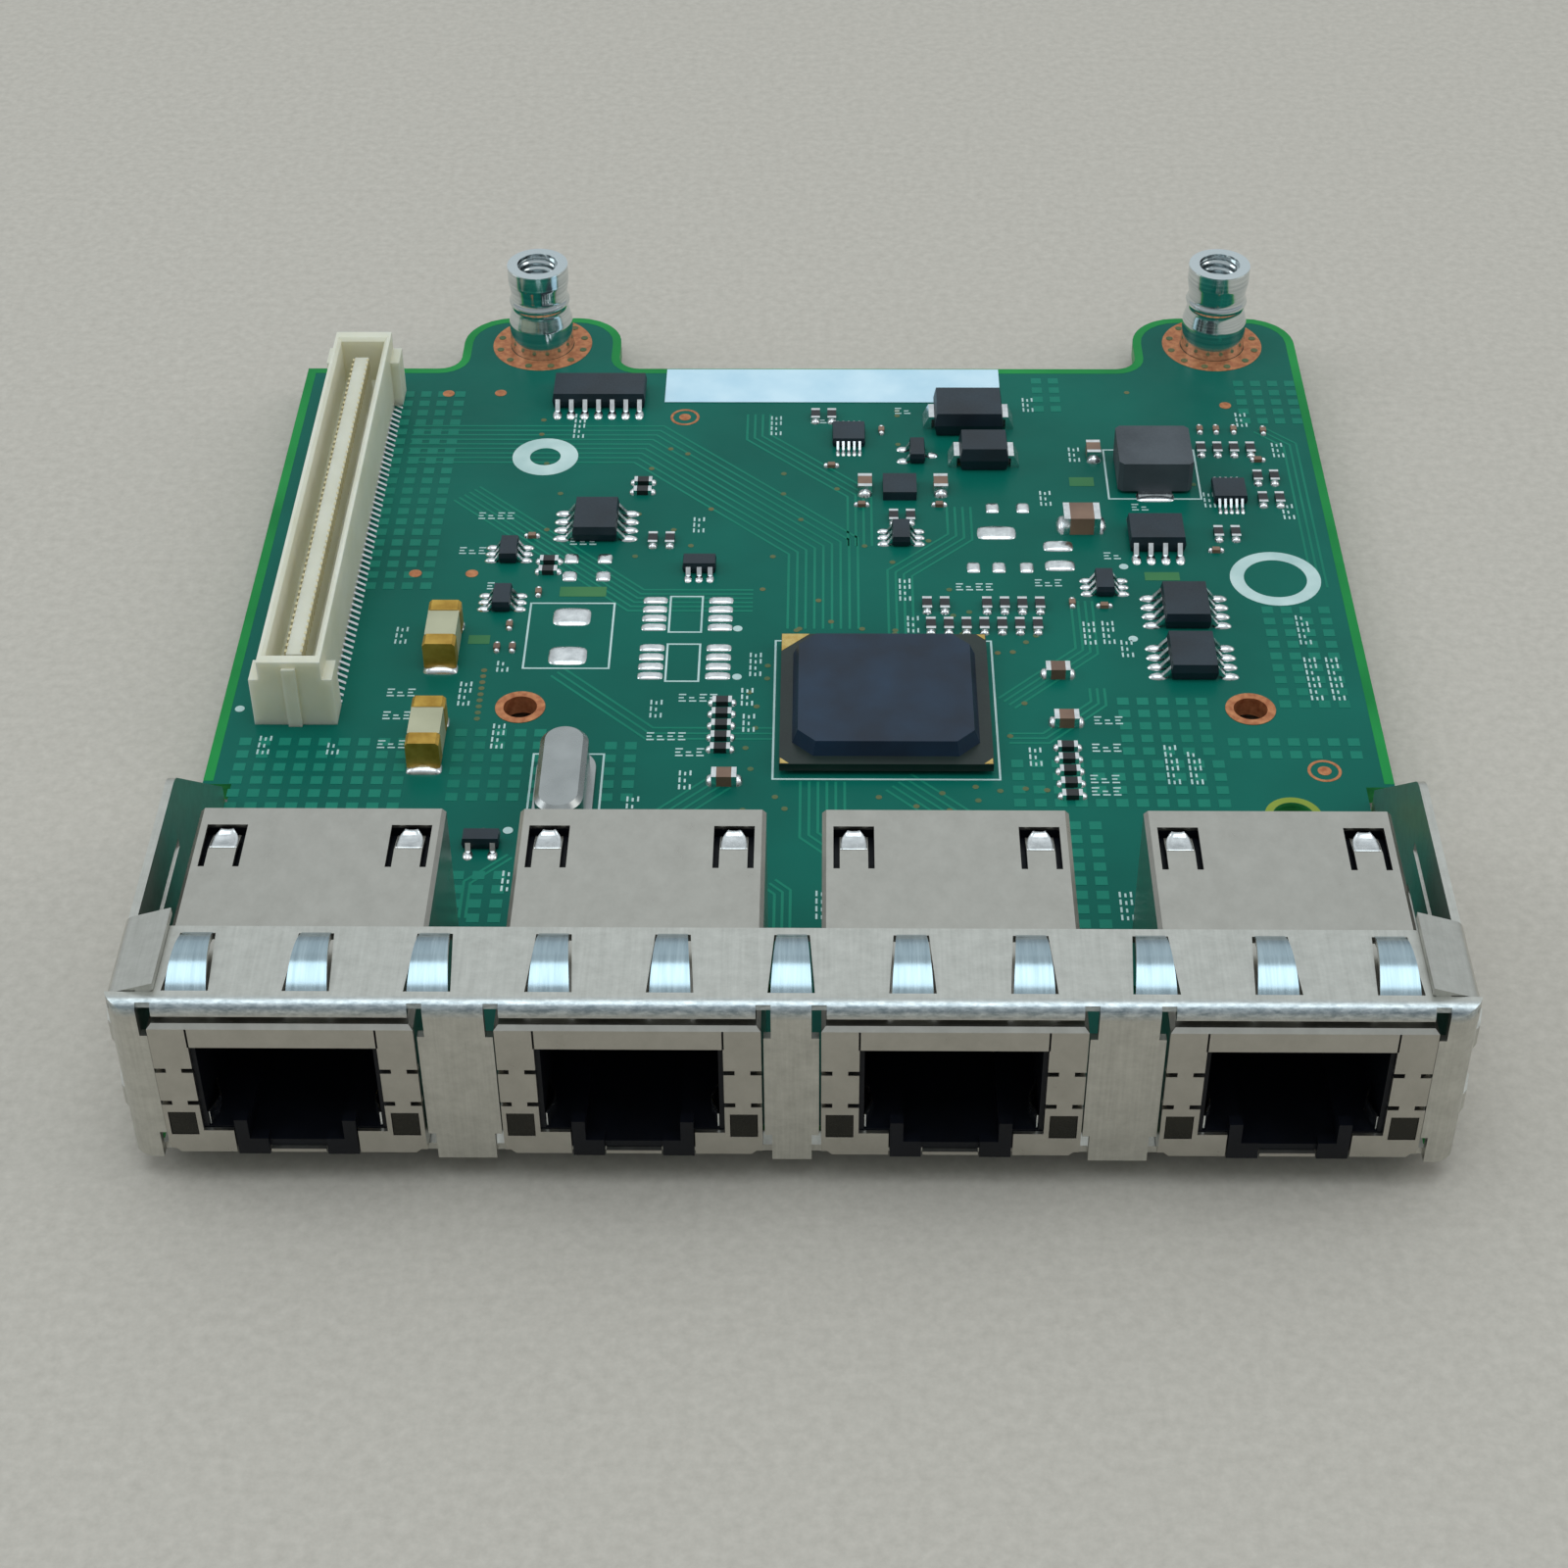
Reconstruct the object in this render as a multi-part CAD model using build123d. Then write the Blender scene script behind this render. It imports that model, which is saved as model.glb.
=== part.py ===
"""Server mezzanine network card with a row of four jacks, in millimetres.

X runs along the row of jacks, Y from the jacks to the fixing posts and Z up from the table.
The origin is the middle of the card's outline, level with the lowest points of its underside.
"""
import os
from math import radians, sin

from build123d import *

CLEAR = 0.05  # between moulded and folded pieces that fit together

# Jacks
JACK_W = 17.7
JACK_H = 12.1
JACK_D = 22.2
JACK_SHEET = 0.3
JACK_EDGE = 0.3
GAP_MIDDLE = 4.0  # between the two inner jacks
GAP_SIDE = 5.35  # between an inner and an outer jack
PLATE_W = 2.55  # front plates beside the opening
OPENING_BAR = 2.0  # shield above the opening
FOOT_H = 2.1
FOOT_W = 2.05  # each plate's foot under the opening
SEAM = 0.14  # between the bar and the plates
PLATE_CORNER = 0.75
STRIP_D = 6.0  # shield folded under the jack
SLIT_W = 0.75
SLIT_H = 0.4
SLIT_DROP = (4.2, 7.3)  # from the jack's top
LEG_W = 1.8
LEG_REAR = 6.7  # from the jack's rear
LEG_SLOT = 0.3  # board slot round a leg, each way
TONGUE_W = 2.0
TONGUE_CUT = 0.45
TONGUE_LEG = 1.9
TONGUE_WINDOW = 2.6
TONGUE_SIDE = 0.8  # from the jack's side
TONGUE_REAR = 1.8  # from the jack's rear
TONGUE_DROP = 14  # degrees

# Jack insides
PORT_WALL = 2.9  # from the jack's side
PORT_ROOF = 2.15  # from the jack's top
PORT_D = 13.5
PORT_FLOOR = 2.2
LATCH_FLOOR = 0.9
GUIDE_W = 0.9  # posts beside the latch channel
GUIDE_D = 0.9
GUIDE_TOP = 3.1
GUIDE_LOW = 0.2  # guides below the board's top
GUIDE_GAP = 0.1
LEDGE_W = 1.25
LEDGE_TOP = 1.3
PEG_R = 1.5
PEG_SIDES = 8
PEG_SIDE = 3.15  # from the jack's side
PEG_Y = 9.0
PEG_STAND = 0.6  # peg below the board
PIPE_W = 1.8
PIPE_H = 2.1
PIPE_L = 12.0
PIPE_SIDE = 1.25  # from the jack's side
PIPE_Z = 2.8
MAGNETICS_SIDE = 1.55  # from the jack's side
MAGNETICS_ROOF = 4.6  # from the jack's top
MAGNETICS_REAR = 1.3  # from the jack's rear
MAGNETICS_WALL = 1.4  # housing between port and magnetics
WIRE_COUNT = 8
WIRE_PITCH = 1.02
WIRE_W = 0.45
WIRE_T = 0.25
WIRE_FRONT = 2.6
WIRE_TIP_Y = 11.0
WIRE_DROP = 2.6  # wire tips below the port's roof

# Bracket, with depths from its own face
SETBACK = 0.4  # bracket face behind the jack faces
SHEET = 0.6
BEND_R = 0.8
CORNER_R = 1.6
FLANGE_GAP = 1.0  # jack top to flange
FLANGE_D = 7.65
FLANGE_SIDE = 2.1  # flange end to bracket side
COLUMN = 2.85  # outer jack to bracket side
WINDOW_GAP = 0.15  # window beside a jack
WINDOW_RISE = 0.5  # window above a jack
LIP_GAP = 0.33
LIP_D = 2.1
NOTCH_W = 1.0
NOTCH_D = 0.35
NOTCH_H = 1.8  # notch beyond the window's edge
WALL_DROP = 1.0  # wall top below the flange
WALL_L = 36.8
WALL_TOP_L = 24.5
WALL_FOOT = 1.4
WALL_R = 2.0
FINGER_COUNT = 11
FINGER_PITCH = 8.05
FINGER_FRONT = 1.55
FINGER_L = 5.4
FINGER_CREST = 0.4  # share of the finger's length
FINGER_W = 2.75
FINGER_TIP_W = 2.0
FINGER_T = 0.4
FINGER_RISE = 0.8
FINGER_SLOT = 0.2
BOW_STEPS = 4  # straight steps along a bowed strip
SPRING_W = 2.2
SPRING_L = 5.0
SPRING_Y = 3.7
SPRING_RISE = 0.9
SPRING_Z = (2.8, 9.0)
BEAD_W = 1.5
BEAD_RISE = 0.45
BEAD_L = 12.0
BEAD_Y = 16.8
BEAD_Z = (4.2, 8.2)
EAR_L = 7.4
EAR_Y = 5.0
EAR_W = 3.3
EAR_GAP = 0.1
EAR_LEG = 3.0
EAR_SLOPE = 1.0

# Circuit board
BOARD_T = 1.6
BOARD_SIDE = 1.5  # board beyond the bracket's sides
BOARD_FRONT = 2.7  # board edge behind the jack faces
NECK_REAR = 39.2
NECK_GAP = 0.2
REAR_EDGE = 100.6
TAB_L = 9.2
TAB_W = 15.1
TAB_R = 4.5
TAB_ROOT_R = 2.0
SINK_SPACING = 59.5
SINK_R = 1.45
TOOL_R = 1.6
TOOL_SIDE = 8.4
TOOL_REAR = 13.5  # tooling hole behind the jacks
UNDERSIDE = 1.5  # what stands out below the board

# Fixing posts
AXIS_X = 7.05  # line midway between the posts, through the controller
POST_SPACING = 64.3
POST_SETBACK = 4.8  # from the tab ends
POST_R = 3.0
POST_H = 8.8
POST_FOOT_H = 2.9
POST_WAIST_R = 2.5
POST_WAIST_Z = 4.9
POST_HEAD_R = 2.85
POST_HEAD_H = 1.6
POST_BORE_R = 1.9
POST_BORE_D = 6.2
POST_SHANK_R = 2.6  # flat-sided, so the post can't turn
POST_SHANK_SIDES = 8
POST_FLANGE_R = 4.4
POST_FLANGE_SIDES = 6
POST_FIT = 0.1

# Mezzanine connector
MEZZ_L = 50.1
MEZZ_W = 5.1
MEZZ_H = 6.35
MEZZ_SIDE = 6.4  # its middle line from the board's side
MEZZ_REAR = 3.8  # from the board's rear edge
MEZZ_WALL = 0.55
MEZZ_END = 1.2
MEZZ_FLOOR = 1.9
MEZZ_TONGUE_W = 1.25
MEZZ_TONGUE_H = 3.3
MEZZ_TONGUE_END = 1.4
MEZZ_EAR_W = 6.7
MEZZ_EAR_L = 2.6
MEZZ_EAR_H = 4.6
MEZZ_RIB_W = 1.1
MEZZ_RIB_T = 0.3
MEZZ_LEAD_IN = 0.3
TAIL_PITCH = 0.8
TAIL_W = 0.3
TAIL_T = 0.45
TAIL_L = 0.8

# Controller
CHIP = 17.0
CHIP_T = 0.7
CHIP_V = 0.342
CAP_SIZE = 15.0
CAP_T = 1.15
CAP_CORNER = 1.7
CAP_DRAFT = 22
BALL_H = 0.45
BALL_R = 0.3
BALL_PITCH = 1.65
BALL_SIDES = 4
BALL_ROW = 10

# Crystal and fuses
CRYSTAL_L = 11.3
CRYSTAL_W = 4.7
CRYSTAL_BASE = 0.6
CRYSTAL_RIM = 0.45
CRYSTAL_H = 3.6
CRYSTAL_EDGE = 0.4
CRYSTAL_AT = (-0.389, 0.193)
FUSE_L = 6.1
FUSE_SIZE = 2.7
FUSE_CAP = 1.4
FUSE_STEP = 0.06
FUSE_EDGE = 0.25
FUSES_AT = [(-0.631, 0.279), (-0.631, 0.444)]

# Leaded packages: pitch, body length, width, height, span, lead width, thickness
LOGIC = (1.27, 8.65, 3.9, 1.6, 6.0, 0.42, 0.22)
LOGIC_COUNT = 14
SO8 = (1.27, 4.9, 3.9, 1.6, 6.0, 0.42, 0.22)
SO8_COUNT = 8
MSOP = (0.5, 3.0, 3.0, 0.95, 4.9, 0.22, 0.15)
MSOP_COUNT = 10
SOT6 = (0.95, 2.9, 1.6, 1.1, 2.9, 0.4, 0.15)
SOT6_COUNT = 6
SOT3 = (1.9, 2.9, 1.4, 1.1, 2.5, 0.4, 0.15)
SOT3_COUNT = 3
LEAD_KNEE = 0.45  # share of the lead's reach
BODY_DRAFT = 10
BODY_LIFT = 0.12
LOGIC_AT = [(-0.403, 0.935, 0)]
SO8_AT = [(-0.383, 0.668, 90), (0.694, 0.509, 90), (0.692, 0.42, 90), (0.66, 0.644, 0)]
MSOP_AT = [(0.091, 0.848, 0), (0.811, 0.732, 0)]
SOT6_AT = [
    (-0.539, 0.524, 90),
    (-0.539, 0.614, 90),
    (0.554, 0.554, 90),
    (-0.185, 0.588, 0),
    (0.187, 0.647, 90),
]
SOT3_AT = [(-0.516, 0.126, 0), (0.223, 0.812, -90)]

# Leadless package, inductor and block diodes
QFN_SIZE = 3.0
QFN_H = 0.9
QFN_AT = (0.187, 0.74)
COIL_L = 6.6
COIL_W = 6.2
COIL_H = 3.2
COIL_CORNER = 0.4
COIL_LIFT = 0.3
COIL_PAD_W = 3.0
COIL_PAD_L = 1.9
COIL_PAD_OUT = 0.5
COIL_AT = (0.671, 0.774)
DIODES = [(6.3, 4.9, 2.4, 0.325, 0.882), (4.4, 3.6, 2.3, 0.35, 0.802)]
DIODE_LEAD_W = 2.2
DIODE_LEAD_T = 0.25
DIODE_FOOT = 1.0

# Chip parts: length, width, height, end length, then their places and turns
CAP_SMALL = (2.0, 1.25, 1.0, 0.4)
CAP_LARGE = (3.2, 2.5, 1.7, 0.55)
RESISTOR = (1.6, 0.8, 0.5, 0.3)
CAPS_SMALL_AT = [
    (0.454, 0.399, 0),
    (0.461, 0.318, 0),
    (-0.123, 0.223, 0),
    (0.563, 0.814, 90),
    (0.121, 0.744, 90),
    (0.265, 0.744, 90),
]
CAPS_LARGE_AT = [(0.524, 0.67, 0)]
CHIP_PITCH = 1.5
CHIP_ROWS = [
    (0.459, 0.239, 1, 5, 0),
    (-0.132, 0.311, 1, 5, 0),
    (0.386, 0.519, 4, 1, 90),
    (0.246, 0.519, 2, 1, 90),
    (0.331, 0.482, 7, 1, 90),
    (0.82, 0.823, 4, 1, 90),
    (0.887, 0.765, 2, 1, 90),
    (0.889, 0.721, 2, 1, 90),
    (0.794, 0.654, 2, 1, 90),
    (-0.463, 0.59, 1, 2, 0),
    (-0.259, 0.64, 2, 1, 90),
    (-0.302, 0.745, 1, 2, 0),
    (0.042, 0.893, 2, 1, 90),
    (0.19, 0.685, 2, 1, 90),
]

# Places that follow from the sizes above
JACK_PITCH = JACK_W + GAP_SIDE
INNER_JACK_X = (JACK_W + GAP_MIDDLE) / 2
JACK_X = [-INNER_JACK_X - JACK_PITCH, -INNER_JACK_X, INNER_JACK_X, INNER_JACK_X + JACK_PITCH]
BRACKET_W = 2 * (JACK_X[3] + JACK_W / 2 + COLUMN)
BOARD_W = BRACKET_W + 2 * BOARD_SIDE
CARD_DEPTH = REAR_EDGE + TAB_L
FRONT = -CARD_DEPTH / 2
TOP = UNDERSIDE + BOARD_T
JACK_BACK = FRONT + JACK_D
BOARD_BACK = FRONT + REAR_EDGE
FLANGE_TOP = JACK_H + FLANGE_GAP + SHEET
LIP_BOTTOM = -LIP_GAP - SHEET
WALL_TOP = FLANGE_TOP - WALL_DROP
POST_X = [AXIS_X - POST_SPACING / 2, AXIS_X + POST_SPACING / 2]
POST_Y = FRONT + CARD_DEPTH - POST_SETBACK
OPENING_W = JACK_W - 2 * PLATE_W
FOOT_GAP = OPENING_W - 2 * FOOT_W
LATCH_W = FOOT_GAP - 2 * (GUIDE_W + GUIDE_GAP)
HOUSING_W = JACK_W - 2 * JACK_SHEET - 2 * CLEAR
HOUSING_BACK = JACK_D - JACK_SHEET - CLEAR
PORT_W = JACK_W - 2 * PORT_WALL
PORT_TOP = JACK_H - PORT_ROOF
LEG_Y = JACK_D - LEG_REAR
PEG_X = JACK_W / 2 - PEG_SIDE
PIPE_X = JACK_W / 2 - PIPE_SIDE
MAGNETICS_FRONT = PORT_D + MAGNETICS_WALL


def block(x0, x1, y0, y1, z0, z1):
    """Box between two corners."""
    size = (x1 - x0, y1 - y0, z1 - z0)
    return Pos((x0 + x1) / 2, (y0 + y1) / 2, (z0 + z1) / 2) * Box(*size)


def slab(plane, points, depth):
    """Polygon on a plane, extruded by half the depth to each side."""
    return extrude(plane * make_face(Polyline(*points, close=True)), depth / 2, both=True)


def folded(plane, outer, inner, radius, depth):
    """Folded sheet with its outer and inner outline on a plane, extruded to both sides."""
    outside = FilletPolyline(*outer, radius=radius)
    inside = Polyline(*inner)
    ends = [Line(outside @ 0, inside @ 0), Line(outside @ 1, inside @ 1)]
    face = make_face(outside.edges() + inside.edges() + ends)
    return extrude(plane * face, depth / 2, both=True)


def bowed(plane, start, crest, end, thickness, depth):
    """Bowed strip in straight steps along an arc on a plane, extruded to both sides."""
    arc = ThreePointArc(start, crest, end)
    upper = []
    lower = []
    for i in range(BOW_STEPS + 1):
        point = arc @ (i / BOW_STEPS)
        tangent = arc % (i / BOW_STEPS)
        offset = Vector(-tangent.Y, tangent.X) * (thickness / 2)
        upper.append(point + offset)
        lower.append(point - offset)
    return slab(plane, upper + lower[::-1], depth)


def spot(u, v, turn=0):
    """Place on the board: u across it from -1 to 1, v from the jacks to the rear edge."""
    y = JACK_BACK + v * (BOARD_BACK - JACK_BACK)
    return Pos(u * BOARD_W / 2, y, TOP) * Rot(0, 0, turn)


def jack_place(x):
    return Pos(x, FRONT, TOP)


def prism(radius, sides, low, high):
    """Flat-sided post between two heights."""
    return Pos(0, 0, low) * extrude(RegularPolygon(radius, sides), high - low)


def circuit_board():
    half = BOARD_W / 2
    neck = BRACKET_W / 2 - SHEET - NECK_GAP
    left = POST_X[0] - TAB_W / 2
    right = POST_X[0] + TAB_W / 2
    inner = POST_X[1] - TAB_W / 2
    outline = Polyline(
        (-neck, BOARD_FRONT),
        (neck, BOARD_FRONT),
        (neck, NECK_REAR),
        (half, NECK_REAR),
        (half, CARD_DEPTH),
        (inner, CARD_DEPTH),
        (inner, REAR_EDGE),
        (right, REAR_EDGE),
        (right, CARD_DEPTH),
        (left, CARD_DEPTH),
        (left, REAR_EDGE),
        (-half, REAR_EDGE),
        (-half, NECK_REAR),
        (-neck, NECK_REAR),
        close=True,
    )
    face = make_face(outline)
    corners = face.vertices().filter_by(lambda v: abs(v.Y - CARD_DEPTH) < 0.01)
    face = fillet(corners, TAB_R)
    roots = face.vertices().filter_by(lambda v: abs(v.Y - REAR_EDGE) < 0.01 and abs(v.X) < half - 0.1)
    face = fillet(roots, TAB_ROOT_R)
    board = Pos(0, FRONT, UNDERSIDE) * extrude(face, BOARD_T)

    deep = 3 * BOARD_T
    for x in POST_X:
        board -= Pos(x, POST_Y, TOP) * prism(POST_SHANK_R + POST_FIT, POST_SHANK_SIDES, -deep, deep)
    chip_y = spot(0, CHIP_V).position.Y
    for side in (-1, 1):
        board -= Pos(AXIS_X + side * SINK_SPACING / 2, chip_y, TOP) * Cylinder(SINK_R, deep)
    board -= Pos(half - TOOL_SIDE, JACK_BACK + TOOL_REAR, TOP) * Cylinder(TOOL_R, deep)
    for x in JACK_X:
        for side in (-1, 1):
            leg_x = side * (JACK_W - JACK_SHEET) / 2
            slot = Box(JACK_SHEET + 2 * LEG_SLOT, LEG_W + 2 * LEG_SLOT, deep)
            hole = prism(PEG_R + CLEAR, PEG_SIDES, -deep, deep)
            board -= jack_place(x) * Pos(side * PEG_X, PEG_Y, 0) * hole
            board -= jack_place(x) * Pos(leg_x, LEG_Y, 0) * slot
    return board


def io_bracket():
    half = BRACKET_W / 2
    flange = half - FLANGE_SIDE
    front_outer = [(0, LIP_BOTTOM), (0, FLANGE_TOP), (FLANGE_D, FLANGE_TOP)]
    front_inner = [(SHEET, LIP_BOTTOM), (SHEET, FLANGE_TOP - SHEET), (FLANGE_D, FLANGE_TOP - SHEET)]
    bracket = folded(Plane.YZ, front_outer, front_inner, BEND_R, 2 * flange)
    bracket += block(-flange, flange, 0, LIP_D, LIP_BOTTOM, LIP_BOTTOM + SHEET)
    ear_front = EAR_Y - EAR_L / 2 - CLEAR
    bend = folded(Plane.YZ, front_outer, front_inner, BEND_R, BRACKET_W)
    bend &= block(-half, half, 0, ear_front, WALL_TOP, FLANGE_TOP)
    plan = Pos(0, CORNER_R) * Rectangle(BRACKET_W, 2 * CORNER_R)
    plan = fillet(plan.vertices().sort_by(Axis.Y)[:2], CORNER_R)
    bracket += bend & extrude(plan, 2 * FLANGE_TOP)

    wall_outer = [(-half, WALL_L), (-half, 0), (half, 0), (half, WALL_L)]
    wall_inner = [
        (-half + SHEET, WALL_L),
        (-half + SHEET, SHEET),
        (half - SHEET, SHEET),
        (half - SHEET, WALL_L),
    ]
    middle = Plane.XY.offset((WALL_TOP + LIP_BOTTOM) / 2)
    walls = folded(middle, wall_outer, wall_inner, CORNER_R, WALL_TOP - LIP_BOTTOM)
    side = make_face(
        Polyline(
            (-1, LIP_BOTTOM),
            (WALL_L, LIP_BOTTOM),
            (WALL_L, WALL_FOOT),
            (WALL_TOP_L, WALL_TOP),
            (-1, WALL_TOP),
            close=True,
        )
    )
    knee = side.vertices().filter_by(lambda v: abs(v.X - WALL_TOP_L) < 0.01)
    side = fillet(knee, WALL_R)
    walls &= extrude(Plane.YZ * side, BRACKET_W, both=True)
    walls -= block(-flange, flange, -SHEET, SHEET, 2 * LIP_BOTTOM, 2 * FLANGE_TOP)
    bracket += walls

    window_top = JACK_H + WINDOW_RISE
    for x in JACK_X:
        reach = JACK_W / 2 + WINDOW_GAP
        bracket -= block(x - reach, x + reach, -SHEET, BEND_R, 2 * LIP_BOTTOM, window_top)
        for edge in (x - reach, x + reach):
            near = edge - NOTCH_W / 2
            far = edge + NOTCH_W / 2
            bracket -= block(near, far, -SHEET, NOTCH_D, window_top, 2 * FLANGE_TOP)
            bracket -= block(near, far, -SHEET, BEND_R, window_top - NOTCH_H, FLANGE_TOP - SHEET)
            bracket -= block(near, far, -SHEET, BEND_R, 2 * LIP_BOTTOM, NOTCH_H - LIP_GAP)

    finger = finger_strip()
    slot = finger_slot()
    for i in range(FINGER_COUNT):
        x = (i - (FINGER_COUNT - 1) / 2) * FINGER_PITCH
        bracket -= Pos(x, 0, 0) * slot
        bracket += Pos(x, 0, 0) * finger

    for sign in (-1, 1):
        hand = Plane.YZ if sign < 0 else None
        for piece, cut in side_features():
            piece = mirror(piece, hand) if hand else piece
            if cut:
                bracket -= piece
            else:
                bracket += piece
    return Pos(0, FRONT + SETBACK, TOP) * bracket


def finger_plan(grow):
    """Tapered outline of a flange finger, seen from above."""
    front = FINGER_FRONT - grow
    rear = FINGER_FRONT + FINGER_L
    wide = FINGER_W / 2 + grow
    narrow = FINGER_TIP_W / 2 + grow
    points = [(-wide, front), (wide, front), (narrow, rear), (-narrow, rear)]
    return make_face(Polyline(*points, close=True))


def finger_strip():
    rear = FINGER_FRONT + FINGER_L
    level = FLANGE_TOP - FINGER_T / 2
    crest = (FINGER_FRONT + FINGER_CREST * FINGER_L, level + FINGER_RISE)
    ends = [(rear, level), (FINGER_FRONT, level - SHEET / 2)]
    strip = bowed(Plane.YZ, ends[0], crest, ends[1], FINGER_T, FINGER_W)
    return strip & extrude(finger_plan(0), 2 * FLANGE_TOP)


def finger_slot():
    slot = extrude(finger_plan(FINGER_SLOT), 2 * FLANGE_TOP)
    return slot & block(-FINGER_W, FINGER_W, 0, FLANGE_D, FLANGE_TOP - 2 * SHEET, 2 * FLANGE_TOP)


def side_features():
    """Right-hand springs, beads and folded ear, each with True where it is cut away."""
    half = BRACKET_W / 2
    features = []
    for z in SPRING_Z:
        y0 = SPRING_Y - SPRING_L / 2
        y1 = SPRING_Y + SPRING_L / 2
        level = half - FINGER_T / 2
        cut = block(half - 2 * SHEET, half + 1, y0, y1, z - SPRING_W / 2, z + SPRING_W / 2)
        ends = [(level, y1 + SHEET / 2), (level - SHEET / 2, y0 + FINGER_SLOT)]
        crest = (level + SPRING_RISE, SPRING_Y)
        strip = bowed(Plane.XY.offset(z), ends[0], crest, ends[1], FINGER_T, SPRING_W - 2 * FINGER_SLOT)
        features += [(cut, True), (strip, False)]
    for z in BEAD_Z:
        plane = Plane.XZ.offset(-BEAD_Y)
        rib = bead_points(half - SHEET / 2, half + BEAD_RISE, BEAD_W, z)
        groove = bead_points(half - SHEET - 0.1, half + BEAD_RISE - SHEET, BEAD_W - SHEET, z)
        features += [(slab(plane, rib, BEAD_L), False), (slab(plane, groove, BEAD_L - SHEET), True)]
    crown = FLANGE_TOP + EAR_GAP + SHEET
    knee = crown - EAR_SLOPE
    outer = [(half, crown - EAR_LEG), (half, knee), (half - EAR_W, crown)]
    inner = [(half - SHEET, crown - EAR_LEG), (half - SHEET, knee - SHEET), (half - EAR_W, crown - SHEET)]
    features += [(folded(Plane.XZ.offset(-EAR_Y), outer, inner, BEND_R, EAR_L), False)]
    return features


def bead_points(x0, x1, width, z):
    """Tapered bead section between two X levels."""
    foot = width / 2
    tip = width / 4
    return [(x0, z - foot), (x1, z - tip), (x1, z + tip), (x0, z + foot)]


def jack_shield():
    half = JACK_W / 2
    inside = half - JACK_SHEET
    shell = block(-half, half, 0, JACK_D, 0, JACK_H)
    crown = shell.edges().filter_by_position(Axis.Z, JACK_H, JACK_H)
    shell = chamfer(crown.sort_by(Axis.Y)[:3], JACK_EDGE)
    shell -= block(-inside, inside, JACK_SHEET, JACK_D - JACK_SHEET, JACK_SHEET, JACK_H - JACK_SHEET)
    shell -= block(-inside, inside, STRIP_D, JACK_D - JACK_SHEET, -JACK_SHEET, JACK_SHEET)
    deep = 2 * JACK_SHEET
    opening_top = JACK_H - OPENING_BAR
    shell -= block(-OPENING_W / 2, OPENING_W / 2, -deep, deep, FOOT_H, opening_top)
    shell -= block(-FOOT_GAP / 2, FOOT_GAP / 2, -deep, deep, JACK_SHEET, 2 * FOOT_H)
    for side in (-1, 1):
        window = Box(PIPE_W + 2 * CLEAR, 2 * deep, PIPE_H + 2 * CLEAR)
        shell -= Pos(side * PIPE_X, 0, PIPE_Z) * window
        corner = slab(Plane.XZ, [(half, 0), (half - PLATE_CORNER, 0), (half, PLATE_CORNER)], 2 * JACK_SHEET)
        shell -= corner if side > 0 else mirror(corner, Plane.YZ)
        plate_x = side * (half - PLATE_W / 2)
        slit = Box(SLIT_W, 2 * deep, SLIT_H)
        for drop in SLIT_DROP:
            for edge in (-1, 1):
                shell -= Pos(plate_x + edge * (PLATE_W - SLIT_W) / 2, 0, JACK_H - drop) * slit
        seam = Box(SEAM, 2 * deep, OPENING_BAR - JACK_EDGE, align=(Align.CENTER, Align.CENTER, Align.MIN))
        shell -= Pos(side * OPENING_W / 2, 0, opening_top) * seam
        guide_x = (FOOT_GAP - GUIDE_W - LEDGE_W) / 2 - GUIDE_GAP
        shell -= Pos(side * guide_x, 0, 0) * guide_slot()
        leg_x = side * (half - JACK_SHEET / 2)
        leg = Box(JACK_SHEET, LEG_W, BOARD_T + UNDERSIDE + JACK_H / 2)
        shell += Pos(leg_x, LEG_Y, (JACK_H / 2 - BOARD_T - UNDERSIDE) / 2) * leg
        shell = cut_tongue(shell, side)
    return shell


def guide_slot():
    """Cut in the shield's bottom strip where a housing guide reaches down through it."""
    reach = (GUIDE_W + LEDGE_W) / 2 + GUIDE_GAP
    return block(-reach, reach, -CLEAR, GUIDE_D + CLEAR, -JACK_SHEET, 2 * JACK_SHEET)


def cut_tongue(shell, side):
    """Cut a U round a tongue in the shield's top and bend the tongue down."""
    x = side * (JACK_W / 2 - TONGUE_SIDE - TONGUE_CUT - TONGUE_W / 2)
    rear = JACK_D - TONGUE_REAR
    root = rear - TONGUE_WINDOW
    reach = TONGUE_W / 2 + TONGUE_CUT
    deep = JACK_H - 3 * JACK_SHEET
    shell -= block(x - reach, x + reach, root, rear, deep, 2 * JACK_H)
    for edge in (x - reach, x + TONGUE_W / 2):
        shell -= block(edge, edge + TONGUE_CUT, root - TONGUE_LEG, root + CLEAR, deep, 2 * JACK_H)
    tongue = Box(TONGUE_W, TONGUE_WINDOW - TONGUE_CUT, JACK_SHEET, align=(Align.CENTER, Align.MIN, Align.MAX))
    return shell + Pos(x, root - CLEAR, JACK_H) * Rot(-TONGUE_DROP, 0, 0) * tongue


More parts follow.
